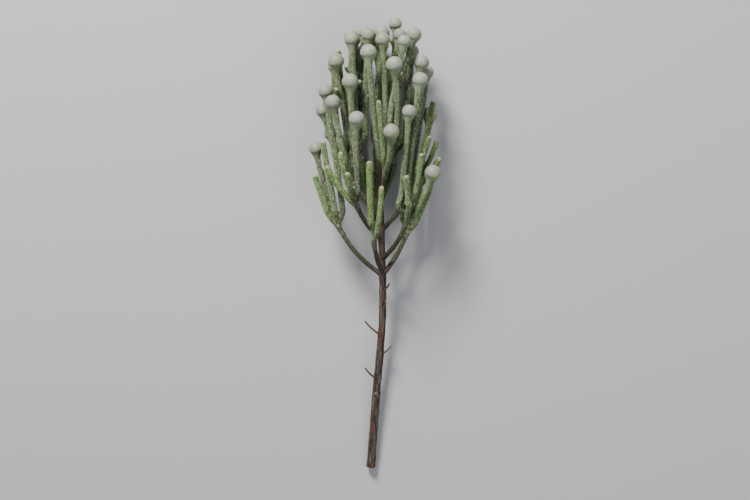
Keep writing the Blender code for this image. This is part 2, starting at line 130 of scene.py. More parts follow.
# The flower heads: their size, how likely one is at a height in the crown, and the neck below the
# ball, which sits on its shoot NECK_SEAT radii from the middle and needs the room of NECK_ROOM radii
HEAD_RADIUS = (0.0060, 0.0076)
HEAD_HEIGHT = (0.50, 0.80)
HEAD_CHANCE = (0.08, 0.93)
NECK_SEAT = 1.65
NECK_ROOM = 0.62

# The skeleton's points: how far apart they are, and how fine the curves they come from
STEP = 0.004
SWEEP_POINTS = 25
CURVE_POINTS = 12
SIDE_START = (0.31, 0.0, 0.95)

# How shoots crowd: their room, the roots and seats left out of it, and how hard they push
CLEARANCE = 0.0006
ROOT_ZONE = 0.011
SEAT_POINTS = 3
NEAR = 0.004
PUSH = 0.6
STIFFNESS = 0.35
CROWD_ROUNDS = 260
SETTLE_ROUNDS = 60
PAIR_ROUNDS = 10

# The two heads that the crown rests on: how deep they are pressed, and where they are looked for
REST_SINK = 0.0006
REST_REACH = 0.020
REST_BEYOND = 0.350

# The looks: how fine the centre lines are, how far above the ground everything stays, the size and
# random shifts of the noise, and how far apart the seeds of heads are
FINE_STEP = 0.001
GROUND = 0.00003
LATTICE_SIZE = (32, 32, 32)
NOISE_SHIFT = (0, 9)
HEAD_SEED = 100

# A shoot's leaves: the area that each one shows, its length and half width, how small they get, and
# how far before a shoot's or an axis's line the first one starts and before its end the last one
LEAF_AREA = 0.0000018
LEAF_LENGTH = 0.0027
LEAF_HALF_WIDTH = 0.00080
SMALLEST_LEAF = 0.45
LEAF_START = -0.0010
AXIS_LEAF_START = -0.0026
LEAF_STOP = 0.0006

# How leaves differ: ranges of their length, width and rise, and shifts along and round the shoot
LENGTH_RANGE = (0.88, 1.10)
WIDTH_RANGE = (0.90, 1.08)
RISE_RANGE = (0.93, 1.06)
SHIFT_ALONG = 0.0001
SHIFT_ROUND = 0.05

# The core below a shoot's leaves: its share of their reach, its sides and the distance of its rings
CORE_SHARE = 0.72
CORE_SIDES = 8
CORE_RING = 0.0025

# A shoot's ends: the swelling below a head, and the blunt dome of crowded leaves at a bare tip
SHOOT_SWELL = 0.08
SWELL_LENGTH = 0.012
TIP_DOME_LENGTH = 0.0032
TIP_BLUNTNESS = 2.2
TIP_POINT = 0.12
TIP_CORE = 0.90
TIP_RINGS = np.array((1.0, 0.7, 0.42, 0.2, 0.06, 0.0))
TIP_CROWDING = 0.25
TIP_MARGIN = 0.0003

# One scale leaf as eight places: across its half width, along its length, and out from core to top
LEAF_PLACES = np.array(((0.00, 0.00, -0.20), (-1.00, 0.42, 0.10), (0.00, 0.40, 0.72), (1.00, 0.42, 0.10),
                        (-0.64, 0.80, 0.52), (0.00, 0.78, 1.00), (0.64, 0.80, 0.52), (0.00, 1.00, 0.92)))
LEAF_UPPER = np.array(((0, 2, 1), (0, 3, 2), (1, 2, 5), (1, 5, 4),
                       (2, 3, 6), (2, 6, 5), (4, 5, 7), (5, 6, 7)))
LEAF_UNDER = np.array(((0, 1, 3), (1, 4, 6), (1, 6, 3), (4, 7, 6)))
# How light each of a leaf's places is: painted shade, darkest at the foot and low sides where the leaves
# overlap, lightest along the upper keel
LEAF_PAINTED_SHADE = np.array((0.36, 0.60, 0.88, 0.60, 0.96, 1.26, 0.96, 1.02))

# A head's florets: their number, how far tops, rims and grooves stand off its round form, and how
# much they, and the ball as a whole, differ
FLORETS = 420
FLORET_RELIEF = np.array((0.00013, -0.00006, -0.00011))
FLORET_RANGE = (0.7, 1.25)
LUMPS = 0.05
LUMP_SHARE = 0.9

# A head's neck: where the ball ends, how the neck narrows, and how far it sinks below its leaves
BALL_END = -0.55
NECK_SLOPES = (0.66, 0.10)
NECK_SHARE = 0.9
NECK_SLIMNESS = 0.98
NECK_SINK = 0.00038
SINK_FROM = -0.35
SINK_SPAN = 0.3

# The small leaves on a neck, from the shoot up to the ball: where they run, how close together
# they are, their sizes, how far they stand off it, how deep they root, and where it is measured
BRACT_START = 0.0005
BRACT_END = -0.62
BRACT_OVERHANG = 0.6
BRACT_CROWDING = 0.85
BRACT_SIZES = (1.0, 0.62)
BRACT_RANGE = (0.9, 1.1)
BRACT_LIFT = (0.00022, 0.00002)
BRACT_DEPTH = 0.0006
BRACT_HEIGHTS = np.linspace(-0.999, 1, 400)

# The bark: ridges and lumps as their stretch along the wood and size, with their heights as shares
# of its radius, swellings at forks, and the spiral of scars of dropped leaves
BARK_REACH = 0.98
RIDGES, RIDGE_HEIGHT = (8, 0.0010), 0.15
WOOD_LUMPS, WOOD_LUMP_HEIGHT = (1, 0.005), 0.10
FORK_SWELL = 0.05
FORK_LENGTH = 0.006
BRANCH_FLARE = 0.20
FLARE_LENGTH = 0.007
SCAR_PITCH = 0.0011
SCAR_SIZE = 0.0008
SCAR_HEIGHT = 0.00022

# Old leaves on the wood: from what share of its length they grow, over what share they close up,
# and how they differ
STEM_LEAVES_FROM = 0.62
BRANCH_LEAVES_FROM = 0.10
OLD_LEAVES_SPAN = 0.3
OLD_LEAVES_POWER = 1.5
OLD_LEAF_RANGE = (0.7, 1.0)
OLD_LEAF_LIFT = (0.00028, 0.00052)
OLD_LEAF_SHIFT = 0.12
OLD_LEAF_ROOT = 0.9
AGING_LENGTH = 0.06

# Areas of the texture map, as left, low, right and high, and what is used of them: a tube's share of
# its strip, the margin of a net's cell, a tube's end as a share of its strip and the disc in it, and
# the margin and both sides of a leaf's cell
LOWER_AREA, UPPER_AREA = (0.0, 0.0, 1.0, 0.11), (0.0, 0.12, 1.0, 1.0)
BRANCH_AREA, STEM_AREA = (0.0, 0.12, 1.0, 0.49), (0.0, 0.50, 1.0, 1.0)
STRIP_SHARE = 0.95
NET_MARGIN = 0.06
END_SHARE = 0.1
DISC_SHARE = 0.96
LEAF_MARGIN = 0.04
UPPER_MIDDLE, UPPER_WIDTH = 0.56, 0.40
UNDER_MIDDLE, UNDER_WIDTH = 0.06, 0.04


def tone(red, green, blue):
    """A colour given as on a screen, from 0 to 255, as the linear values of a material."""
    share = np.array((red, green, blue)) / 255
    return np.where(share <= 0.04045, share / 12.92, ((share + 0.055) / 1.055) ** 2.4)


# Leaf colours of a shoot, from fresh to aged, and the colours that they change to
FRESH, SAGE, DEEP, AGED = tone(110, 142, 66), tone(102, 127, 82), tone(74, 97, 64), tone(110, 104, 82)
# The dark tint of a shoot's core is painted shade for the gaps between its leaves, where the core shows
TIP_CREAM, LEAF_POINT, CORE_PAINTED_SHADE = tone(196, 198, 160), tone(66, 54, 42), tone(44, 48, 36)
DEAD_LEAF, ROOT_BROWN, BLUSH = tone(120, 98, 70), tone(80, 74, 56), tone(150, 112, 96)
DUSKY = tone(80, 80, 70)

# A shoot's own green: ranges of how brown an axis is, how deep and how aged a shoot with a head is,
# how sage and how aged a bare one is, and how often and how much a shoot is dusky
AXIS_BROWN = (0.2, 0.7)
HEADED_DEEP, HEADED_AGED = (0.0, 0.9), (0.0, 0.45)
BARE_SAGE, BARE_AGED = (0.0, 1.0), (-0.8, 0.5)
DUSKY_CHANCE, DUSKY_SHARE = 0.12, 0.6

# How a shoot's leaves change: brown at its root, fresh in patches, pale at random, green at the
# neck, blushing or cream at a bare tip, with dark points, a few dead ones and a range of brightness
ROOT_SHARE, ROOT_LENGTH = 0.55, 0.02
PATCH_SHARE, PATCH_FROM, PATCH_SIZE = 0.5, 0.45, 0.7
PATCH_ALONG, PATCH_ROUND = 3, 0.4
PALE_SHARE, PALE_POWER = 0.62, 2.6
NECK_GREEN_SHARE = 0.6
BLUSH_CHANCE, BLUSH_SHARE, BLUSH_LENGTH = 0.2, 0.3, 0.012
CREAM_SHARE, CREAM_LENGTH = 0.75, 0.0042
TIP_CORE_CREAM = 0.6
POINT_SHARE = 0.7
DEAD_CHANCE, DEAD_SHARE = 0.012, 0.55
LEAF_LIGHTS = (0.46, 1.40)

# Head colours: florets in grey-green to lilac grey, their grooves with painted shade, and the greener neck
FLORET_GREY, FLORET_LILAC, FLORET_WARM = tone(162, 170, 150), tone(152, 149, 154), tone(160, 170, 128)
GROOVE_GREEN_AND_SHADE, NECK_GREEN, DARK_POINT = tone(92, 99, 78), tone(118, 136, 94), tone(84, 70, 58)
FRESH_PATCH = tone(168, 178, 110)

# A head's own colour, and how its florets change: in brightness, in lilac patches, with a fresh
# patch low on some heads, darker in rims and grooves, partly their own green and partly painted
# shade in the hollows, a few dark ones, and green towards the neck
HEAD_LILAC, LILAC_POWER, HEAD_WARM, WARM_POWER, HEAD_LIGHTS = 0.9, 1.5, 0.8, 2, (0.74, 1.06)
FLORET_LIGHTS = (0.80, 1.14)
LILAC_SHARE, LILAC_SIZE = 0.5, 0.7
FRESH_CHANCE, FRESH_SHARE, FRESH_LOW = 0.45, (0.3, 0.8), (0.3, 0.7)
FRESH_FROM, FRESH_SPAN = 0.5, 0.4
FLORET_SHADE = np.array((0.0, 0.46, 0.78))
DARK_FLORETS, DARK_SHARE = 0.04, 0.55
GREEN_FROM, GREEN_SPAN, GREEN_MOST = -0.05, 0.8, 0.9
BRACT_GREEN, BRACT_GREY, BRACT_POWER = 0.6, 0.3, 0.7
BRACT_LIGHTS, BRACT_POINT = (0.84, 1.16), 0.6

# Wood colours: bark from dark brown to worn grey, its red streaks, and the cut face
BARK_DARK, BARK_GREY, BARK_RED = tone(42, 33, 28), tone(104, 95, 87), tone(88, 50, 36)
BARK_GREEN, TWIG_RED, CUT_WOOD = tone(72, 66, 48), tone(104, 66, 46), tone(206, 184, 140)
CUT_EDGE, CUT_PITH = tone(140, 104, 70), tone(150, 112, 76)

# How the bark changes: the stretch and size of grey streaks, red patches and lighter spots, how a
# value of noise turns into their share, how it greens towards the leafy end, and how far apart the
# noise of two lengths of wood is
STREAKS, STREAK_GAIN, STREAK_FROM, STREAK_SHARE = (9, 0.0009), 2.0, 0.75, 0.8
REDS, RED_SEED, RED_GAIN, RED_FROM, RED_MOST = (4, 0.0035), 5, 2.6, 1.45, 0.75
SPOTS, SPOT_SEED, SPOT_LIGHTS = (2, 0.0014), 9, (0.78, 1.22)
BRANCH_GREENING, STEM_GREENING, GREENING_SHARE = (-0.2, 1.1), (-0.9, 0.7), 0.55
ROD_SEED = 0.01

# How red a twig and how grey a scar is, and the colour of the old leaves
TWIG_SHARE, SCAR_SHARE = 0.7, 0.45
OLD_AGED, OLD_BROWN, OLD_LIGHTS, OLD_POINT = 0.4, 0.45, (0.65, 1.3), 0.5

# The cut end of the stem and of a broken twig: shares of the rim with their colours
CUT_FACE = ((0.975, CUT_EDGE * 0.6), (0.93, CUT_EDGE), (0.86, CUT_WOOD), (0.5, CUT_WOOD * 0.92),
            (0.24, CUT_WOOD), (0.18, CUT_PITH), (0.0, CUT_PITH * 0.8))
BROKEN_FACE = ((0.9, CUT_EDGE), (0.6, CUT_WOOD * 0.7), (0.0, CUT_WOOD * 0.8))

# The wood's tubes: their sides, the distance of their rings, and how their two ends are closed
WOOD_TUBES = {"stem": (48, 0.0009, (CUT_FACE, None)), "branch": (20, 0.0010, (None, None)),
              "twig": (12, 0.0010, (None, BROKEN_FACE))}

# The materials: noise scales along x, y and z, a finer noise's scale, the height of the relief in
# metres, the ranges of shade and roughness, and the shader's own values
FOLIAGE = {"name": "leaf_green", "grain": (900, 900, 900), "fine": 2600, "bump": 0.00006,
           "shades": (0.82, 1.16), "roughness": (0.5, 0.72), "finish": {"Specular IOR Level": 0.35}}
VELVET = {"name": "head_velvet", "grain": (700, 700, 700), "fine": 3200, "bump": 0.00005,
          "shades": (0.86, 1.12), "roughness": (0.50, 0.66),
          "finish": {"Specular IOR Level": 0.42, "Sheen Weight": 0.08, "Sheen Roughness": 0.45,
                     "Sheen Tint": (0.85, 0.85, 0.88, 1.0)}}
BARK = {"name": "bark_brown", "grain": (2200, 260, 2200), "fine": 2600, "bump": 0.00022,
        "shades": (0.62, 1.30), "roughness": (0.6, 0.85), "finish": {"Specular IOR Level": 0.3}}
NOISE_RANGE = (0.3, 0.7)
NOISE_DETAIL = 4.0
FINE_DETAIL = 3.0

# The floor and the light that fills the studio
FLOOR_SIZE = 5.0
FLOOR_TONE = tone(173, 173, 176)
FLOOR_ROUGHNESS = 0.8
WORLD_TONE = tone(214, 216, 220)


class Rod:
    """A length of wood or shoot: a centre line, a radius at both ends and, on a shoot, its head."""

    def __init__(self, kind, spray, points, radius, head=0.0):
        self.kind = kind
        self.spray = spray
        self.points = points
        self.radius = radius
        self.head = head


def unit(vector):
    return vector / np.linalg.norm(vector)


def between(ends, share):
    return ends[0] + share * (ends[1] - ends[0])


def evenly(points, step):
    """The same line with its points evenly spaced, about step apart."""
    gaps = np.linalg.norm(np.diff(points, axis=0), axis=1)
    along = np.concatenate([[0], np.cumsum(gaps)])
    stations = np.linspace(0, along[-1], max(2, round(along[-1] / step)) + 1)
    return np.stack([np.interp(stations, along, points[:, axis]) for axis in range(3)], axis=1)


def through(points, step):
    """A Catmull-Rom curve through the points, its own points about step apart."""
    p = np.asarray(points, float)
    p = np.vstack([2 * p[0] - p[1], p, 2 * p[-1] - p[-2]])
    t = np.linspace(0, 1, CURVE_POINTS, endpoint=False)[:, None]
    pieces = [0.5 * (2 * b + (c - a) * t + (2 * a - 5 * b + 4 * c - d) * t ** 2
                     + (3 * b - a - 3 * c + d) * t ** 3)
              for a, b, c, d in zip(p[:-3], p[1:-2], p[2:-1], p[3:])]
    return evenly(np.vstack(pieces + [p[-2:-1]]), step)


def sweep(start, start_way, end, end_way, step=STEP):
    """A smooth curve that leaves start along start_way and arrives at end along end_way."""
    reach = np.linalg.norm(end - start)
    t = np.linspace(0, 1, SWEEP_POINTS)[:, None]
    curve = ((2 * t ** 3 - 3 * t ** 2 + 1) * start + (t ** 3 - 2 * t ** 2 + t) * reach * start_way
             + (3 * t ** 2 - 2 * t ** 3) * end + (t ** 3 - t ** 2) * reach * end_way)
    return evenly(curve, step)


def cap_directions(count, widest, turn):
    """Unit directions spread evenly over a cap round +Y, from its middle outwards."""
    y = 1 - (1 - math.cos(widest)) * (np.arange(count) + 0.5) / count
    angle = turn + np.arange(count) * GOLDEN_ANGLE
    side = np.sqrt(1 - y * y)
    return np.stack([side * np.cos(angle), y, side * np.sin(angle)], axis=1)


def on_dome(way, dome, drop):
    """The place on a flat-topped dome round the crown's focus, in a unit direction from it."""
    side = 1 - way[1] ** 2
    return CROWN_FOCUS + dome * np.array((way[0], 1 - drop * side ** 2, way[2]))


def grow_branches(stem):
    """The woody branches, each from a fork on the stem to its end on the inner dome."""
    branches = []
    ways = cap_directions(BRANCH_COUNT, BRANCH_SPREAD, BRANCH_TURN)
    for spray, way in enumerate(ways[1:], 1):
        end = on_dome(way, BRANCH_DOME, BRANCH_DROP)
        end[2] = max(end[2], LOWEST_BRANCH_END)
        side = math.hypot(end[0] - CROWN_FOCUS[0], end[2] - CROWN_FOCUS[2])
        fork = np.argmin(np.abs(stem.points[:, 1] - end[1] + side / math.tan(BRANCH_ANGLE)))
        start = stem.points[fork]
        out = unit(end - start)
        line = sweep(start, unit(out + BRANCH_LEAN[0] * UP), end, unit(out + BRANCH_LEAN[1] * UP))
        branches.append(Rod("branch", spray, line, BRANCH_RADIUS))
    return branches


def grow_twigs(stem):
    """The short broken twigs on the bare part of the stem."""
    twigs = []
    for k in range(TWIG_COUNT):
        y = between(TWIG_ZONE, (k + 0.5) / TWIG_COUNT)
        start = stem.points[np.argmin(np.abs(stem.points[:, 1] - y))]
        angle = math.pi * (0.5 + TWIG_FAN * math.sin(TWIG_TURN * k))
        out = np.array((math.cos(angle), TWIG_RISE, math.sin(angle)))
        end = start + unit(out) * between(TWIG_LENGTH, k * GOLDEN_SHARE % 1)
        line = sweep(start, unit(out + TWIG_LEAN[0] * UP), end, unit(out + TWIG_LEAN[1] * UP))
        twigs.append(Rod("twig", 0, line, TWIG_RADIUS))
    return twigs


def grow_spray(spray, seat_rod, tips, draw):
    """A leafy axis on the end of its branch, and a shoot from it to each tip."""
    seat = seat_rod.points[-1]
    seat_way = unit(seat - seat_rod.points[-2])
    aim = unit(np.mean(tips, axis=0) - seat)
    line = sweep(seat + STEP * seat_way, seat_way, seat + AXIS_LENGTH * aim, aim)
    axis = Rod("axis", spray, np.vstack([seat, line]), (AXIS_RADIUS, AXIS_RADIUS))
    rods = [axis]
    tips = sorted(tips, key=lambda tip: unit(tip - seat) @ aim)
    top = len(axis.points) - 1
    for place, tip in enumerate(tips):
        share = (place + 0.5) / len(tips)
        start = axis.points[1 + int(share * (top - 2))]
        height = (tip[1] - CROWN_FOCUS[1]) / TIP_DOME[1]
        chance = np.interp(height, HEAD_HEIGHT, HEAD_CHANCE)
        head = draw.uniform(*HEAD_RADIUS) if draw.random() < chance else 0.0
        reach = draw.uniform(*(HEADED_REACH if head else BARE_REACH))
        tip = start + (tip - start) * reach
        tip[2] = max(tip[2], head, SHOOT_RADIUS[1])
        out = unit(tip - start)
        sway = np.array([draw.gauss(0, SWAY) for axis in range(3)])
        start_way = unit(out + SPREAD_LEAN * (out - aim) + SEAT_LEAN * seat_way + sway)
        line = sweep(start, start_way, tip, unit(out + RISE_LEAN * UP - sway))
        radius = draw.uniform(*SHOOT_RADIUS)
        rods.append(Rod("shoot", spray, line, (radius, radius), head))
    return rods


def resting_rods(rods):
    """The two headed shoots that the crown rests on, the lowest at each side."""
    far = [rod for rod in rods if rod.head and rod.points[-1][1] > REST_BEYOND]
    resting = []
    for side in (-1, 1):
        outer = [rod for rod in far if side * rod.points[-1][0] > REST_REACH]
        resting.append(min(outer, key=lambda rod: rod.points[-1][2]))
    return resting


class Crowd:
    """All rods' points in one array, with what holds them, so that they can be pushed apart."""

    def __init__(self, rods, resting):
        counts = np.array([len(rod.points) for rod in rods])
        self.rods = rods
        self.first = np.concatenate([[0], np.cumsum(counts)])
        self.points = np.vstack([rod.points for rod in rods])
        self.rod = np.repeat(np.arange(len(rods)), counts)
        self.spray = np.array([rod.spray for rod in rods])[self.rod]
        self.step = np.array([np.linalg.norm(rod.points[1] - rod.points[0]) for rod in rods])[self.rod]
        place = np.arange(len(self.rod)) - self.first[self.rod]
        last = place == counts[self.rod] - 1
        share = place / (counts[self.rod] - 1)
        ends = np.array([rod.radius for rod in rods])[self.rod]
        width = ends[:, 0] + (ends[:, 1] - ends[:, 0]) * share
        head = np.array([rod.head for rod in rods])[self.rod]
        kinds = np.array([rod.kind for rod in rods])[self.rod]
        self.along = place * self.step
        below = (counts[self.rod] - 1 - place) * self.step
        self.is_head = last & (head > 0)
        self.size = np.hypot(width, self.step / 2)
        on_neck = below < NECK_SEAT * head
        self.size[on_neck] = np.maximum(self.size, NECK_ROOM * head)[on_neck]
        self.size[self.is_head] = head[self.is_head]
        self.held = (kinds != "shoot") | (place == 0)
        self.give = np.where(self.held, 0.0, np.minimum(1.0, self.along / (2 * ROOT_ZONE)))
        self.seated = np.isin(kinds, ("stem", "branch")) & (counts[self.rod] - place <= SEAT_POINTS)
        self.inner = np.flatnonzero(~self.held & ~last)
        self.bend = self.middles() - self.points[self.inner]
        self.resting = np.array([self.first[rods.index(rod) + 1] - 1 for rod in resting])
        shoots = [self.first[k] + np.arange(1, counts[k])
                  for k in range(len(rods)) if rods[k].kind == "shoot"]
        longest = max(len(line) for line in shoots)
        self.levels = [np.array([line[k] for line in shoots if len(line) > k])
                       for k in range(longest)]

    def middles(self):
        return (self.points[self.inner - 1] + self.points[self.inner + 1]) / 2

    def neighbours(self):
        """Pairs of points that may come to touch, and how far apart each pair has to be."""
        distance = np.linalg.norm(self.points[:, None] - self.points[None], axis=2)
        gap = distance - self.size[:, None] - self.size
        i, j = np.nonzero(np.triu(gap < NEAR, 1))
        kin = (self.spray[i] == self.spray[j]) & ~self.is_head[i] & ~self.is_head[j]
        rooted = (self.along[i] < ROOT_ZONE) | (self.along[j] < ROOT_ZONE)
        rooted |= self.seated[i] | self.seated[j]
        keep = (self.rod[i] != self.rod[j]) & ~(self.held[i] & self.held[j]) & ~(kin & rooted)
        i, j, kin = i[keep], j[keep], kin[keep]
        return i, j, self.size[i] + self.size[j] + np.where(kin, 0.0, CLEARANCE)

    def push_apart(self, i, j, apart):
        way = self.points[i] - self.points[j]
        distance = np.linalg.norm(way, axis=1)
        give = np.maximum(self.give[i] + self.give[j], 1e-9)
        push = PUSH * (np.maximum(0, apart - distance) / (distance * give))[:, None] * way
        np.add.at(self.points, i, push * self.give[i][:, None])
        np.add.at(self.points, j, -push * self.give[j][:, None])

    def keep_lengths(self):
        for level in self.levels:
            way = self.points[level] - self.points[level - 1]
            reach = self.step[level] / np.linalg.norm(way, axis=1)
            self.points[level] = self.points[level - 1] + way * reach[:, None]

    def keep_off_ground(self):
        loose = ~self.held
        self.points[loose, 2] = np.maximum(self.points[loose, 2], self.size[loose] + CLEARANCE)
        self.points[self.resting, 2] = self.size[self.resting] - REST_SINK

    def settle(self):
        for turn in range(CROWD_ROUNDS):
            if turn % PAIR_ROUNDS == 0:
                i, j, apart = self.neighbours()
            if turn < CROWD_ROUNDS - SETTLE_ROUNDS:
                straight = self.middles() - self.points[self.inner]
                self.points[self.inner] += STIFFNESS * (straight - self.bend)
            self.push_apart(i, j, apart)
            self.keep_off_ground()
            self.keep_lengths()
            self.points[self.resting, 2] = self.size[self.resting] - REST_SINK
        for k, rod in enumerate(self.rods):
            rod.points = self.points[self.first[k]:self.first[k + 1]]


def grow_buds(rods):
    """Short side shoots on the long shoots, where there is room for them."""
    points = np.vstack([rod.points for rod in rods])
    owner = np.repeat(np.arange(len(rods)), [len(rod.points) for rod in rods])
    size = np.array([rod.head or max(rod.radius) for rod in rods])[owner]
    buds = []
    for k, rod in enumerate(rods):
        if rod.kind != "shoot" or len(rod.points) < BUD_SHOOT_POINTS or len(buds) == BUD_COUNT:
            continue
        place = round(len(rod.points) * between(BUD_PLACE, k * GOLDEN_SHARE % 1))
        start = rod.points[place]
        way = unit(rod.points[place + 1] - start)
        for attempt in range(BUD_TRIES):
            angle = (k + attempt) * GOLDEN_ANGLE
            side = unit(np.cross(way, (math.cos(angle), 0.0, math.sin(angle))))
            end = start + BUD_LENGTH * unit(way + side)
            start_way, end_way = unit(way + BUD_LEAN[0] * side), unit(way + BUD_LEAN[1] * side)
            line = sweep(start, start_way, end, end_way, STEP / 2)
            others = owner != k
            distance = np.linalg.norm(line[:, None] - points[others][None], axis=2)
            gap = distance - size[others] - BUD_RADIUS
            if gap.min() > 2 * CLEARANCE and line[:, 2].min() > BUD_RADIUS + CLEARANCE:
                buds.append(Rod("bud", rod.spray, line, (BUD_RADIUS, BUD_RADIUS)))
                points = np.vstack([points, line])
                owner = np.concatenate([owner, np.full(len(line), -1)])
                size = np.concatenate([size, np.full(len(line), BUD_RADIUS)])
                break
    return buds


def grow_sprig():
    """Every rod of the sprig, crowded and shifted so that the origin is under its middle."""
    draw = random.Random(SEED)
    stem = Rod("stem", 0, through(STEM_ROUTE, STEP), STEM_RADIUS)
    branches = grow_branches(stem)
    rods = [stem] + branches + grow_twigs(stem)
    branch_ways = cap_directions(BRANCH_COUNT, BRANCH_SPREAD, BRANCH_TURN)
    tip_ways = cap_directions(TIP_COUNT, TIP_SPREAD, TIP_TURN)
    nearest = np.argmax(tip_ways @ branch_ways.T, axis=1)
    for spray, seat in enumerate([stem] + branches):
        tips = [on_dome(way, TIP_DOME, TIP_DROP) for way in tip_ways[nearest == spray]]
        rods += grow_spray(spray, seat, tips, draw)
    Crowd(rods, resting_rods(rods)).settle()
    rods += grow_buds(rods)
    for rod in rods:
        rod.points = rod.points - MIDDLE
    return rods


LATTICE = np.random.default_rng(SEED).random(LATTICE_SIZE)


def rough(places, size):
    """Smooth noise between 0 and 1 at places, with features of about that size."""
    spread = np.asarray(places) / size
    cell = np.floor(spread).astype(int)
    part = spread - cell
    part = part * part * (3 - 2 * part)
    total = 0.0
    for corner in np.ndindex(2, 2, 2):
        weight = np.prod(np.where(corner, part, 1 - part), axis=-1)
        at = (cell + corner) % len(LATTICE)
        total = total + weight * LATTICE[at[..., 0], at[..., 1], at[..., 2]]
    return total


def mix(one, other, share):
    """Colours between one and other. The share may be one number or one per colour."""
    share = np.asarray(share, float)[..., None]
    return one + (other - one) * share


class Course:
    """A smooth centre line with the distance along it, its direction and a side that hardly twists."""

    def __init__(self, points):
        points = through(points, FINE_STEP)
        gaps = np.linalg.norm(np.diff(points, axis=0), axis=1)
        self.along = np.concatenate([[0], np.cumsum(gaps)])
        self.length = self.along[-1]
        ways = np.gradient(points, self.along, axis=0)
        ways /= np.linalg.norm(ways, axis=1)[:, None]
        side = np.cross(ways[0], SIDE_START)
        sides = []
        for way in ways:
            side = unit(side - way * (side @ way))
            sides.append(side)
        self.columns = np.hstack([points, ways, np.array(sides)]).T

    def nearest(self, places):
        """The distances along the line at which it comes nearest to the places."""
        line = self.columns[:3].T
        return [self.along[np.argmin(np.linalg.norm(line - place, axis=1))] for place in places]

    def spots(self, stations, angles, reaches):
        """Places at distances along the line, each its reach off it in the direction of its angle.

        Past its ends the line goes on straight.
        """
        stations, angles, reaches = np.broadcast_arrays(stations, angles, reaches)
        inside = np.clip(stations, 0.0, self.length)
        rows = [np.interp(inside, self.along, column) for column in self.columns]
        centre, way, side = (np.stack(rows[k:k + 3], axis=-1) for k in (0, 3, 6))
        across = np.cross(way, side)
        out = np.cos(angles)[..., None] * side + np.sin(angles)[..., None] * across
        return centre + (stations - inside)[..., None] * way + reaches[..., None] * out


class Shape:
    """A mesh in the making: places with tints, and triangles with their corners on the texture map."""

    def __init__(self):
        self.places, self.tints, self.faces, self.maps = [], [], [], []
        self.count = 0

    def add(self, places, tints, faces, maps):
        """Takes places and as many tints, and triangles and three map places for each."""
        places = np.reshape(places, (-1, 3))
        self.places.append(places)
        self.tints.append(np.reshape(tints, (-1, 3)))
        self.faces.append(np.reshape(faces, (-1, 3)) + self.count)
        self.maps.append(np.reshape(maps, (-1, 2)))
        self.count += len(places)

    def finish(self, name, material):
        """The shape as an object, kept above the ground."""
        places, tints = np.concatenate(self.places), np.concatenate(self.tints)
        faces, maps = np.concatenate(self.faces), np.concatenate(self.maps)
        places[:, 2] = np.maximum(places[:, 2], GROUND)
        mesh = bpy.data.meshes.new(name)
        mesh.from_pydata(places.tolist(), [], faces.tolist())
        tint = mesh.color_attributes.new("tint", "FLOAT_COLOR", "POINT")
        tint.data.foreach_set("color", np.hstack([tints, np.ones((len(tints), 1))]).ravel())
        mesh.uv_layers.new(name="OFBake").data.foreach_set("uv", maps.ravel())
        mesh.shade_smooth()
        mesh.materials.append(material)
        return add_object(name, mesh)


def strip(number, count, area):
    """One of count strips side by side in an area of the texture map as wide as the map."""
    return number / count, area[1], (number + STRIP_SHARE) / count, area[3]


def weave(one, other):
    """The six corners of the two triangles between each ring and the next, side by side.

    Both arrays have a row for each ring. Each entry in other is the one after the same entry in one.
    """
    return np.stack([one[:-1], other[:-1], other[1:], one[:-1], other[1:], one[1:]], axis=2)


def ring_faces(rings, sides):
    """The triangles between rings of places that are numbered one after another."""
    number = np.arange(rings * sides).reshape(rings, sides)
    return weave(number, np.roll(number, -1, axis=1)).reshape(-1, 3)


def close_end(shape, rim, first, centre, bands, area, flip):
    """Closes a tube's end inside its rim, whose places begin at the number called first.

    Each band is a share of the rim and its tint. The last one is the middle point, with share 0.
    """
    sides, rings = len(rim), len(bands) - 1
    shares = np.array([share for share, tint in bands[:-1]])
    inner = centre + shares[:, None, None] * (rim - centre)
    places = np.concatenate([inner.reshape(-1, 3), [centre]])
    tints = np.repeat([tint for share, tint in bands], [sides] * rings + [1], axis=0)
    last = np.arange(sides) + rings * sides
    fan = np.stack([last, np.roll(last, -1), np.full(sides, (rings + 1) * sides)], axis=-1)
    faces = np.concatenate([ring_faces(rings + 1, sides), fan])
    faces = faces[:, ::-1] if flip else faces
    angles = 2 * math.pi * np.arange(sides) / sides
    circle = np.stack([np.cos(angles), np.sin(angles)], axis=-1)
    disc = (np.array([1.0, *shares])[:, None, None] * circle).reshape(-1, 2)
    left, low, right, high = area
    flat = np.concatenate([disc, [(0.0, 0.0)]]) * (right - left, high - low) * DISC_SHARE
    maps = (np.array((left + right, low + high)) + flat) / 2
    own = np.where(faces < sides, first + faces - shape.count, faces - sides)
    shape.add(places, tints, own, maps[faces])


def add_tube(shape, course, stations, sides, reach_at, tint_at, area, bands=(None, None)):
    """A closed tube with a ring at each station. reach_at and tint_at take stations and angles."""
    rings, first = len(stations), shape.count
    at = np.repeat(np.asarray(stations)[:, None], sides, axis=1)
    angles = np.tile(2 * math.pi * np.arange(sides) / sides, (rings, 1))
    places, tints = course.spots(at, angles, reach_at(at, angles)), tint_at(at, angles)
    across, along = np.arange(sides + 1) / sides, np.arange(rings) / (rings - 1)
    grid = np.stack(np.broadcast_arrays(across, along[:, None]), axis=-1)
    left, low, right, high = area
    end_size = min(right - left, high - low) * END_SHARE
    maps = (left, low) + weave(grid[:, :-1], grid[:, 1:]) * (right - left, high - low - end_size)
    shape.add(places, tints, ring_faces(rings, sides), maps)
    for end, corner, given in ((0, left, bands[0]), (rings - 1, left + end_size, bands[1])):
        own = given or ((0.0, tints[end].mean(axis=0)),)
        spot = (corner, high - end_size, corner + end_size, high)
        centre = course.spots(stations[end], 0.0, 0.0)
        close_end(shape, places[end], first + end * sides, centre, own, spot, flip=end == 0)


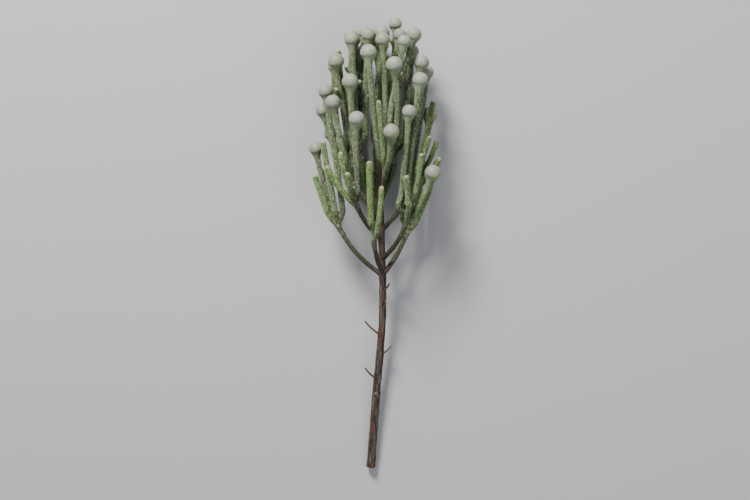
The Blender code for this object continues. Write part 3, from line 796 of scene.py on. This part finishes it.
def lay_leaves(course, stations, angles, core_at, top_at, length, half_width, most=math.inf):
    """The eight places of each leaf, on a core that they rise from towards the top's reach.

    Past the station called most, leaves crowd together into a blunt tip.
    """
    across, along, out = LEAF_PLACES.T
    at = stations[:, None] + along * length[:, None]
    if most < math.inf:
        at = np.minimum(at, most + TIP_CROWDING * (at - most))
    core, top = core_at(at), top_at(at)
    reach = core + out * (top - core)
    turn = across * half_width[:, None] / np.maximum(reach, half_width[:, None])
    return course.spots(at, angles[:, None] + turn, reach)


def tint_leaves(base, share):
    """The tints of each leaf's eight places: painted shade at its foot and low sides, paler further up,
    with a dark point.
    """
    tints = base[:, None] * LEAF_PAINTED_SHADE[:, None]
    tints[:, -1] = mix(tints[:, -1], LEAF_POINT, share)
    return tints


def add_leaves(shape, leaves, area):
    """Closed leaves from pairs of places and tints, each leaf with its own cell of the texture map."""
    places, tints = (np.concatenate(parts) for parts in zip(*leaves))
    count = len(places)
    across, along, out = LEAF_PLACES.T
    height = LEAF_MARGIN + (1 - 2 * LEAF_MARGIN) * along
    upper = np.stack([UPPER_MIDDLE + UPPER_WIDTH * across, height], axis=-1)[LEAF_UPPER]
    under = np.stack([UNDER_MIDDLE + UNDER_WIDTH * across, height], axis=-1)[LEAF_UNDER]
    left, low, right, high = area
    columns = max(1, math.ceil(math.sqrt(count * (right - left) / (high - low))))
    size = np.array(((right - left) / columns, (high - low) / math.ceil(count / columns)))
    number = np.arange(count)
    corner = np.array((left, low)) + np.stack([number % columns, number // columns], axis=-1) * size
    maps = corner[:, None, None] + np.concatenate([upper, under]) * size
    faces = np.concatenate([LEAF_UPPER, LEAF_UNDER]) + len(LEAF_PLACES) * number[:, None, None]
    shape.add(places, tints, faces, maps)


def shoot_colour(rod, luck):
    """A shoot's own green: fresher without a head, greyer or browner with one."""
    if rod.kind == "axis":
        return mix(DEEP, ROOT_BROWN, luck.uniform(*AXIS_BROWN))
    if rod.head:
        green = mix(SAGE, DEEP, luck.uniform(*HEADED_DEEP))
        green = mix(green, AGED, luck.uniform(*HEADED_AGED))
        return mix(green, DUSKY, DUSKY_SHARE * (luck.random() < DUSKY_CHANCE))
    green = mix(FRESH, SAGE, luck.uniform(*BARE_SAGE))
    return mix(green, AGED, max(0.0, luck.uniform(*BARE_AGED)))


def near_end(at, last, length):
    """How near a place is to the end of a shoot: 0 below the last length of it, and 1 at its end."""
    return np.clip((at - last) / length + 1, 0, 1)


def shoot_forms(rod, last):
    """How far a shoot's leaves and its core reach off its line: two functions of the station."""
    radius = rod.radius[0]

    def top_at(at):
        if rod.head:
            return radius * (1 + SHOOT_SWELL * near_end(at, last, SWELL_LENGTH) ** 2)
        dome = np.sqrt(1 - near_end(at, last, TIP_DOME_LENGTH) ** TIP_BLUNTNESS)
        return radius * np.maximum(dome, TIP_POINT)

    def core_at(at):
        closed = 0.0 if rod.head else near_end(at, last, TIP_DOME_LENGTH)
        return top_at(at) * (CORE_SHARE + (TIP_CORE - CORE_SHARE) * closed)

    return top_at, core_at


def add_core(shape, course, rod, last, green, core_at, area):
    """The tube below a shoot's leaves: dark as painted shade in the gaps between the leaves, but pale at a
    bare tip, which it closes.
    """
    def core_tint(at, angles):
        pale = near_end(at, last, TIP_DOME_LENGTH) * (0.0 if rod.head else 1.0)
        return mix(CORE_PAINTED_SHADE, mix(green, TIP_CREAM, TIP_CORE_CREAM), pale)

    stations = np.linspace(0.0, last, max(3, round(last / CORE_RING)))
    if not rod.head:
        below = np.arange(0.0, last - TIP_DOME_LENGTH - CORE_RING / 2, CORE_RING)
        stations = np.concatenate([below, last - TIP_DOME_LENGTH * TIP_RINGS])
    add_tube(shape, course, stations, CORE_SIDES, lambda at, angles: core_at(at), core_tint, area)


def leaf_greens(at, angles, rod, last, length, green, luck):
    """The green of each leaf on a shoot, and how dark the leaf's point is."""
    around = np.stack([PATCH_ALONG * at / length, PATCH_ROUND * np.cos(angles),
                       PATCH_ROUND * np.sin(angles)], axis=-1)
    fresh = np.clip(rough(around + luck.uniform(*NOISE_SHIFT, 3), PATCH_SIZE) - PATCH_FROM, 0, 1)
    base = np.repeat(green[None], len(at), axis=0)
    base = mix(base, ROOT_BROWN, ROOT_SHARE * np.clip(1 - at / ROOT_LENGTH, 0, 1))
    base = mix(base, FRESH, PATCH_SHARE * fresh)
    base = mix(base, FLORET_GREY, PALE_SHARE * luck.random(len(at)) ** PALE_POWER)
    if rod.head:
        base = mix(base, NECK_GREEN, NECK_GREEN_SHARE * near_end(at, last, SWELL_LENGTH) ** 2)
        point = np.full(len(at), POINT_SHARE)
    else:
        tip = near_end(at, last, CREAM_LENGTH)
        blush = BLUSH_SHARE if luck.random() < BLUSH_CHANCE else 0.0
        base = mix(base, BLUSH, blush * near_end(at, last, BLUSH_LENGTH))
        base = mix(base, TIP_CREAM, CREAM_SHARE * tip)
        point = POINT_SHARE * (1 - tip)
    base = mix(base, DEAD_LEAF, DEAD_SHARE * (luck.random(len(at)) < DEAD_CHANCE))
    return base * luck.uniform(*LEAF_LIGHTS, (len(at), 1)), point


def dress_shoot(shape, rod, green, luck, area):
    """The core of a shoot, and the places and tints of the leaves that wind up it."""
    course = Course(rod.points)
    last = course.length - NECK_SEAT * rod.head
    top_at, core_at = shoot_forms(rod, last)
    add_core(shape, course, rod, last, green, core_at, area)
    begin = AXIS_LEAF_START if rod.kind == "axis" else LEAF_START
    rise = LEAF_AREA / (2 * math.pi * rod.radius[0])
    number = np.arange(int((last - LEAF_STOP - begin) / rise))
    at = begin + number * rise + luck.normal(0, SHIFT_ALONG, len(number))
    angles = number * GOLDEN_ANGLE + luck.normal(0, SHIFT_ROUND, len(number))
    small = 1.0 if rod.head else np.clip((last - at) / TIP_DOME_LENGTH, SMALLEST_LEAF, 1.0)
    length = LEAF_LENGTH * luck.uniform(*LENGTH_RANGE, len(number)) * small
    half_width = LEAF_HALF_WIDTH * luck.uniform(*WIDTH_RANGE, len(number)) * np.sqrt(small)
    lift = luck.uniform(*RISE_RANGE, (len(number), 1))
    most = math.inf if rod.head else last - TIP_MARGIN
    places = lay_leaves(course, at, angles, core_at, lambda s: top_at(s) * lift, length, half_width, most)
    base, point = leaf_greens(at, angles, rod, last, course.length, green, luck)
    return places, tint_leaves(base, point)


def build_spray(spray, rods, greens, foliage):
    """All shoots of one spray as one piece: their cores, and leaf after leaf."""
    shape = Shape()
    kin = [rod for rod in rods if rod.spray == spray and rod.kind in ("axis", "shoot", "bud")]
    luck = np.random.default_rng(SEED + spray)
    dressed = [dress_shoot(shape, rod, greens[rod], luck, strip(k, len(kin), LOWER_AREA))
               for k, rod in enumerate(kin)]
    add_leaves(shape, dressed, UPPER_AREA)
    return shape.finish(f"spray_foliage_{spray + 1:02}", foliage)


def floret_net():
    """Even points on a ball, and the triangles of a net with tops, rims and grooves between them."""
    height = 1 - 2 * (np.arange(FLORETS) + 0.5) / FLORETS
    angle = np.arange(FLORETS) * GOLDEN_ANGLE
    side = np.sqrt(1 - height ** 2)
    spots = np.stack([side * np.cos(angle), side * np.sin(angle), height], axis=1)
    ball = bmesh.new()
    for k, spot in enumerate(spots):
        ball.verts.new(spot).index = k
    bmesh.ops.convex_hull(ball, input=ball.verts)
    bmesh.ops.recalc_face_normals(ball, faces=ball.faces)
    ball.verts.index_update()
    nets = np.array([[vert.index for vert in face.verts] for face in ball.faces])
    tops = np.array([vert.co[:] for vert in ball.verts])
    ball.free()
    sides = np.sort(nets[:, [[0, 1], [1, 2], [2, 0]]].reshape(-1, 2), axis=1)
    rims, which = np.unique(sides, axis=0, return_inverse=True)
    which = which.reshape(-1, 3) + len(tops)
    groove = np.arange(len(nets)) + len(tops) + len(rims)
    a, b, c = nets.T
    ab, bc, ca = which.T
    faces = np.stack([a, ab, groove, ab, b, groove, b, bc, groove,
                      bc, c, groove, c, ca, groove, ca, a, groove], axis=1).reshape(-1, 6, 3)
    places = np.concatenate([tops, tops[rims].mean(axis=1), tops[nets].mean(axis=1)])
    kinds = np.repeat((0, 1, 2), (len(tops), len(rims), len(nets)))
    nearest = np.concatenate([np.arange(len(tops)), rims[:, 0], nets[:, 0]])
    return places / np.linalg.norm(places, axis=1)[:, None], kinds, nearest, faces


def net_maps(count):
    """The corners on the texture map of each triangle of a head's net, six to a cell."""
    columns = math.ceil(math.sqrt(count))
    cell = np.arange(count)
    corner = np.stack([cell % columns, cell // columns], axis=-1) / columns
    near, far = NET_MARGIN, 1 - NET_MARGIN
    half, third = (near + far) / 2, (2 * near + far) / 3
    a, b, c, middle = (near, near), (far, near), (near, far), (third, third)
    ab, bc, ca = (half, near), (half, half), (near, half)
    fan = np.array((a, ab, middle, ab, b, middle, b, bc, middle,
                    bc, c, middle, c, ca, middle, ca, a, middle)).reshape(6, 3, 2)
    left, low, right, high = UPPER_AREA
    return (left, low) + (corner[:, None, None] + fan / columns) * (right - left, high - low)


def head_form(height, radius, neck_radius, relief):
    """How far along and off its line a place on the ball lies, once it is drawn down to the neck."""
    side = np.sqrt(np.maximum(0, 1 - height ** 2))
    along, reach = (radius + relief) * height, (radius + relief) * side
    share = np.clip((BALL_END - height) / (1 + BALL_END), 0, 1)
    t = np.clip(share / NECK_SHARE, 0, 1)
    span = NECK_SEAT + BALL_END
    wide, narrow = math.sqrt(1 - BALL_END ** 2), neck_radius / radius
    neck = ((2 * t ** 3 - 3 * t ** 2 + 1) * wide - (t ** 3 - 2 * t ** 2 + t) * span * NECK_SLOPES[0]
            + (3 * t ** 2 - 2 * t ** 3) * narrow - (t ** 3 - t ** 2) * span * NECK_SLOPES[1])
    closing = np.sqrt(np.clip((1 - share) / (1 - NECK_SHARE), 0, 1))
    on_neck = height < BALL_END
    along = np.where(on_neck, radius * (BALL_END - span * t), along)
    reach = np.where(on_neck, (radius * neck + relief) * closing, reach)
    return along, reach


def head_tints(spots, kinds, nearest, own, luck):
    """The tints of a head's places: velvety grey with lilac and fresh patches, and few dark dots."""
    tints = own * luck.uniform(*FLORET_LIGHTS, (FLORETS, 1))[nearest]
    tints = mix(tints, FLORET_LILAC, LILAC_SHARE * rough(spots + luck.uniform(*NOISE_SHIFT, 3), LILAC_SIZE))
    side, low = luck.uniform(0, 2 * math.pi), luck.uniform(*FRESH_LOW)
    patch = np.array((math.cos(side), math.sin(side), -low)) / math.hypot(1, low)
    share = luck.uniform(*FRESH_SHARE) if luck.random() < FRESH_CHANCE else 0.0
    tints = mix(tints, FRESH_PATCH, share * np.clip((spots @ patch - FRESH_FROM) / FRESH_SPAN, 0, 1))
    # Rims and grooves darker and greener: the real green between florets, with painted shade in the hollows
    tints = mix(tints, GROOVE_GREEN_AND_SHADE, FLORET_SHADE[kinds])
    dark = (luck.random(FLORETS) < DARK_FLORETS)[nearest] & (kinds == 0)
    tints = mix(tints, DARK_POINT, DARK_SHARE * dark)
    return mix(tints, NECK_GREEN, np.clip((GREEN_FROM - spots[:, 2]) / GREEN_SPAN, 0, GREEN_MOST))


def neck_leaves(course, rod, neck_radius, green, own, luck):
    """The last small leaves, from the shoot's end up over the neck, where they melt into the ball."""
    form = head_form(BRACT_HEIGHTS, rod.head, neck_radius, 0.0)

    def form_at(at):
        return np.interp(at - course.length, form[0], form[1])

    begin = course.length - NECK_SEAT * rod.head - BRACT_START
    finish = course.length + BRACT_END * rod.head - BRACT_OVERHANG * LEAF_LENGTH
    steps = []
    at = begin
    while at < finish:
        steps.append(at)
        around = 2 * math.pi * float(form_at(at + LEAF_LENGTH / 2))
        at += LEAF_AREA * BRACT_CROWDING / around
    at = np.array(steps)
    share = (at - begin) / (finish - begin)
    size = between(BRACT_SIZES, share) * luck.uniform(*BRACT_RANGE, len(at))
    lift = between(BRACT_LIFT, share)[:, None]
    angles = np.arange(len(at)) * GOLDEN_ANGLE + luck.normal(0, SHIFT_ROUND, len(at))
    places = lay_leaves(course, at, angles, lambda s: form_at(s) - BRACT_DEPTH,
                        lambda s: form_at(s) + lift, LEAF_LENGTH * size, LEAF_HALF_WIDTH * size)
    foot, top = mix(green, NECK_GREEN, BRACT_GREEN), mix(own, NECK_GREEN, BRACT_GREY)
    base = mix(foot, top, share ** BRACT_POWER) * luck.uniform(*BRACT_LIGHTS, (len(at), 1))
    return places, tint_leaves(base, BRACT_POINT * (1 - share))


def build_head(number, rod, net, green, velvet):
    """A ball of florets on its neck, with the last scale leaves of the shoot up to its underside."""
    luck = np.random.default_rng(SEED * HEAD_SEED + number)
    course = Course(rod.points)
    spots, kinds, nearest, faces = net
    relief = FLORET_RELIEF[kinds] * luck.uniform(*FLORET_RANGE, FLORETS)[nearest]
    relief = relief + rod.head * LUMPS * (rough(spots + luck.uniform(*NOISE_SHIFT, 3), LUMP_SHARE) - 0.5)
    relief = relief - NECK_SINK * np.clip((SINK_FROM - spots[:, 2]) / SINK_SPAN, 0, 1)
    neck_radius = NECK_SLIMNESS * rod.radius[0]
    along, reach = head_form(spots[:, 2], rod.head, neck_radius, relief)
    places = course.spots(course.length + along, np.arctan2(spots[:, 1], spots[:, 0]), reach)
    hue = luck.uniform(0, 1, 3)
    own = mix(FLORET_GREY, FLORET_LILAC, HEAD_LILAC * hue[0] ** LILAC_POWER)
    own = mix(own, FLORET_WARM, HEAD_WARM * hue[1] ** WARM_POWER) * between(HEAD_LIGHTS, hue[2])
    shape = Shape()
    shape.add(places, head_tints(spots, kinds, nearest, own, luck), faces, net_maps(len(faces)))
    add_leaves(shape, [neck_leaves(course, rod, neck_radius, green, own, luck)], LOWER_AREA)
    return shape.finish(f"head_florets_{number:02}", velvet)


def scars_at(at, angles, radius):
    """The raised pads where leaves have dropped, from 0 to 1, in a spiral round the wood."""
    nearest = np.round(at / SCAR_PITCH)
    most = 0.0
    for shift in range(-2, 3):
        number = nearest + shift
        aside = (angles - number * GOLDEN_ANGLE + math.pi) % (2 * math.pi) - math.pi
        gap = (aside * radius) ** 2 + (at - number * SCAR_PITCH) ** 2
        most = np.maximum(most, np.exp(-gap / SCAR_SIZE ** 2))
    return most


def grain(rod, seed, at, angles, stretch, size):
    """Noise on a length of wood, with features of that size, drawn out along it by that stretch."""
    radius = rod.radius[0]
    places = np.stack([radius * np.cos(angles) + seed, radius * np.sin(angles), at / stretch], axis=-1)
    return rough(places, size)


def bark_reach(course, rod, forks, seed):
    """How far a length of wood reaches off its line: a function of the station and the angle."""
    flare = 0.0 if rod.kind == "stem" else BRANCH_FLARE
    scar = 0.0 if rod.kind == "twig" else SCAR_HEIGHT

    def reach_at(at, angles):
        plain = between(rod.radius, np.clip(at / course.length, 0, 1))
        ridges = grain(rod, seed, at, angles, *RIDGES) - 0.5
        lumps = grain(rod, seed, at, angles, *WOOD_LUMPS) - 0.5
        form = BARK_REACH + RIDGE_HEIGHT * ridges + WOOD_LUMP_HEIGHT * lumps
        form = form + flare * np.exp(-(at / FLARE_LENGTH) ** 2)
        for fork in forks:
            form = form + FORK_SWELL * np.exp(-((at - fork) / FORK_LENGTH) ** 2)
        return plain * form + scar * scars_at(at, angles, plain)

    return reach_at


def bark_tint(course, rod, seed):
    """The colour of a length of wood: a function of the station and the angle."""
    greening = BRANCH_GREENING if rod.kind == "branch" else STEM_GREENING

    def tint_at(at, angles):
        streak = grain(rod, seed, at, angles, *STREAKS)
        patch = grain(rod, seed + RED_SEED, at, angles, *REDS)
        spot = grain(rod, seed + SPOT_SEED, at, angles, *SPOTS)
        grey = STREAK_SHARE * np.clip(STREAK_GAIN * streak - STREAK_FROM, 0, 1)
        colour = mix(BARK_DARK, BARK_GREY, grey)
        colour = mix(colour, BARK_RED, np.clip(RED_GAIN * patch - RED_FROM, 0, RED_MOST))
        if rod.kind == "twig":
            colour = mix(colour, TWIG_RED, TWIG_SHARE)
        green = np.clip(between(greening, at / course.length), 0, 1)
        colour = mix(colour, BARK_GREEN, GREENING_SHARE * green)
        colour = mix(colour, BARK_GREY, SCAR_SHARE * scars_at(at, angles, rod.radius[0]))
        return colour * between(SPOT_LIGHTS, spot)[..., None]

    return tint_at


def wood_leaves(course, rod, luck):
    """Old brown scale leaves: none on the bare wood, and closer together towards the leafy end."""
    rise = LEAF_AREA / (2 * math.pi * (rod.radius[1] + OLD_LEAF_LIFT[0]))
    number = np.arange(int((course.length + AXIS_LEAF_START / 2) / rise))
    at = number * rise
    bare = STEM_LEAVES_FROM if rod.kind == "stem" else BRANCH_LEAVES_FROM
    chance = np.clip((at / course.length - bare) / OLD_LEAVES_SPAN, 0, 1) ** OLD_LEAVES_POWER
    kept = luck.random(len(at)) < chance
    number, at = number[kept], at[kept]
    angles = number * GOLDEN_ANGLE + luck.normal(0, OLD_LEAF_SHIFT, len(at))
    half_width = LEAF_HALF_WIDTH * luck.uniform(*OLD_LEAF_RANGE, len(at))
    length = LEAF_LENGTH * luck.uniform(*OLD_LEAF_RANGE, len(at))
    lift = luck.uniform(*OLD_LEAF_LIFT, (len(at), 1))

    def wood_at(s):
        return between(rod.radius, np.clip(s / course.length, 0, 1))

    places = lay_leaves(course, at, angles, lambda s: OLD_LEAF_ROOT * wood_at(s),
                        lambda s: wood_at(s) + lift, length, half_width)
    age = np.clip((course.length - at) / AGING_LENGTH, 0, 1)
    base = mix(mix(DEEP, AGED, OLD_AGED), mix(ROOT_BROWN, BARK_DARK, OLD_BROWN), age)
    return places, tint_leaves(base * luck.uniform(*OLD_LIGHTS, (len(at), 1)), OLD_POINT)


def build_wood(rods, material):
    """The stem with its cut end, the branches and the broken twigs as one piece."""
    shape = Shape()
    luck = np.random.default_rng(SEED)
    stem, *others = [rod for rod in rods if rod.kind in WOOD_TUBES]
    old = []
    for k, rod in enumerate([stem] + others):
        course = Course(rod.points)
        sides, ring, bands = WOOD_TUBES[rod.kind]
        forks = course.nearest([other.points[0] for other in others]) if rod is stem else ()
        area = STEM_AREA if rod is stem else strip(k - 1, len(others), BRANCH_AREA)
        stations = np.linspace(0, course.length, round(course.length / ring))
        add_tube(shape, course, stations, sides, bark_reach(course, rod, forks, ROD_SEED * k),
                 bark_tint(course, rod, ROD_SEED * k), area, bands)
        if rod.kind != "twig":
            old.append(wood_leaves(course, rod, luck))
    add_leaves(shape, old, LOWER_AREA)
    return shape.finish("stem_bark", material)


def feed(tree, node, inputs):
    """Gives a node's inputs their values, or wires them to other nodes' outputs."""
    for name, value in inputs.items():
        if isinstance(value, bpy.types.NodeSocket):
            tree.links.new(value, node.inputs[name])
        else:
            node.inputs[name].default_value = value


def add_node(tree, kind, output, inputs, **settings):
    """The named output of a new node."""
    node = tree.nodes.new("ShaderNode" + kind)
    for name, value in settings.items():
        setattr(node, name, value)
    feed(tree, node, inputs)
    return node.outputs[output]


def add_material(name, inputs):
    """A material with values for its shader's inputs, with its node tree."""
    material = bpy.data.materials.new(name)
    material.use_nodes = True
    tree = material.node_tree
    feed(tree, tree.nodes["Principled BSDF"], inputs)
    return material, tree


def tinted_material(name, grain, fine, bump, shades, roughness, finish):
    """A material that takes the mesh's tint, and varies its shade, roughness and relief with noise."""
    material, tree = add_material(name, finish)
    tint = add_node(tree, "Attribute", "Color", {}, attribute_name="tint")
    place = add_node(tree, "TexCoord", "Object", {})
    stretched = add_node(tree, "Mapping", "Vector", {"Vector": place, "Scale": grain})
    coarse = add_node(tree, "TexNoise", "Fac", {"Vector": stretched, "Scale": 1.0, "Detail": NOISE_DETAIL})
    dots = add_node(tree, "TexNoise", "Fac", {"Vector": place, "Scale": fine, "Detail": FINE_DETAIL})
    shade = add_node(tree, "MapRange", "Result", {"Value": coarse, "From Min": NOISE_RANGE[0],
                                                  "From Max": NOISE_RANGE[1],
                                                  "To Min": shades[0], "To Max": shades[1]})
    colour = add_node(tree, "VectorMath", "Vector", {0: tint, "Scale": shade}, operation="SCALE")
    dull = add_node(tree, "MapRange", "Result",
                    {"Value": dots, "To Min": roughness[0], "To Max": roughness[1]})
    height = add_node(tree, "Math", "Value", {0: coarse, 1: dots}, operation="ADD")
    relief = add_node(tree, "Bump", "Normal", {"Height": height, "Strength": 1.0, "Distance": bump})
    feed(tree, tree.nodes["Principled BSDF"], {"Base Color": colour, "Roughness": dull, "Normal": relief})
    return material


def add_object(name, data):
    """A new object in the scene."""
    thing = bpy.data.objects.new(name, data)
    bpy.context.scene.collection.objects.link(thing)
    return thing


def make_floor():
    """A plain pale floor under the sprig."""
    mesh = bpy.data.meshes.new("floor")
    half = FLOOR_SIZE / 2
    corners = ((-half, -half, 0.0), (half, -half, 0.0), (half, half, 0.0), (-half, half, 0.0))
    mesh.from_pydata(corners, [], [(0, 1, 2, 3)])
    tone_and_finish = {"Base Color": (*FLOOR_TONE, 1.0), "Roughness": FLOOR_ROUGHNESS}
    mesh.materials.append(add_material("pale_floor", tone_and_finish)[0])
    add_object("floor", mesh)


def aim(thing, place, target):
    """Puts a light or camera at a place and turns it to a target, with the sprig's tips upwards."""
    back = (Vector(place) - Vector(target)).normalized()
    right = Vector(UP).cross(back).normalized()
    turn = Matrix((right, back.cross(right), back)).transposed()
    thing.matrix_world = Matrix.Translation(place) @ turn.to_4x4()


def add_light(name, place, size, watts, colour):
    """A soft round light that shines on the sprig."""
    light = bpy.data.lights.new(name, "AREA")
    light.shape = "DISK"
    light.size = size
    light.energy = watts
    light.color = colour
    aim(add_object(name, light), place, TARGET)


def light_and_camera():
    """Soft studio light from beyond the heads, and a camera that looks down on the sprig."""
    world = bpy.data.worlds.new("studio")
    world.use_nodes = True
    backdrop = world.node_tree.nodes["Background"].inputs
    backdrop["Color"].default_value = (*WORLD_TONE, 1.0)
    backdrop["Strength"].default_value = WORLD_STRENGTH
    bpy.context.scene.world = world
    add_light("key_light", *KEY_LIGHT)
    add_light("fill_light", *FILL_LIGHT)
    camera = add_object("camera", bpy.data.cameras.new("camera"))
    camera.data.lens = LENS
    camera.data.clip_start = CLIP_START
    aim(camera, CAMERA_PLACE, TARGET)
    bpy.context.scene.camera = camera


def main():
    for thing in list(bpy.data.objects):
        bpy.data.objects.remove(thing)
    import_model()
    rods = grow_sprig()
    luck = np.random.default_rng(SEED)
    greens = {rod: shoot_colour(rod, luck) for rod in rods}
    foliage, velvet = tinted_material(**FOLIAGE), tinted_material(**VELVET)
    pieces = [(build_wood(rods, tinted_material(**BARK)), "woody_stem", "bark")]
    for spray in range(BRANCH_COUNT):
        piece = build_spray(spray, rods, greens, foliage)
        pieces.append((piece, f"leafy_spray_{spray + 1:02}", "foliage"))
    net = floret_net()
    headed = [rod for rod in rods if rod.head]
    for number, rod in enumerate(headed, 1):
        piece = build_head(number, rod, net, greens[rod], velvet)
        pieces.append((piece, f"flower_head_{number:02}", "flower_velvet"))
    for piece, node, slot in pieces:
        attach(piece, "root")
        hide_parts(node)
    make_floor()
    light_and_camera()


main()
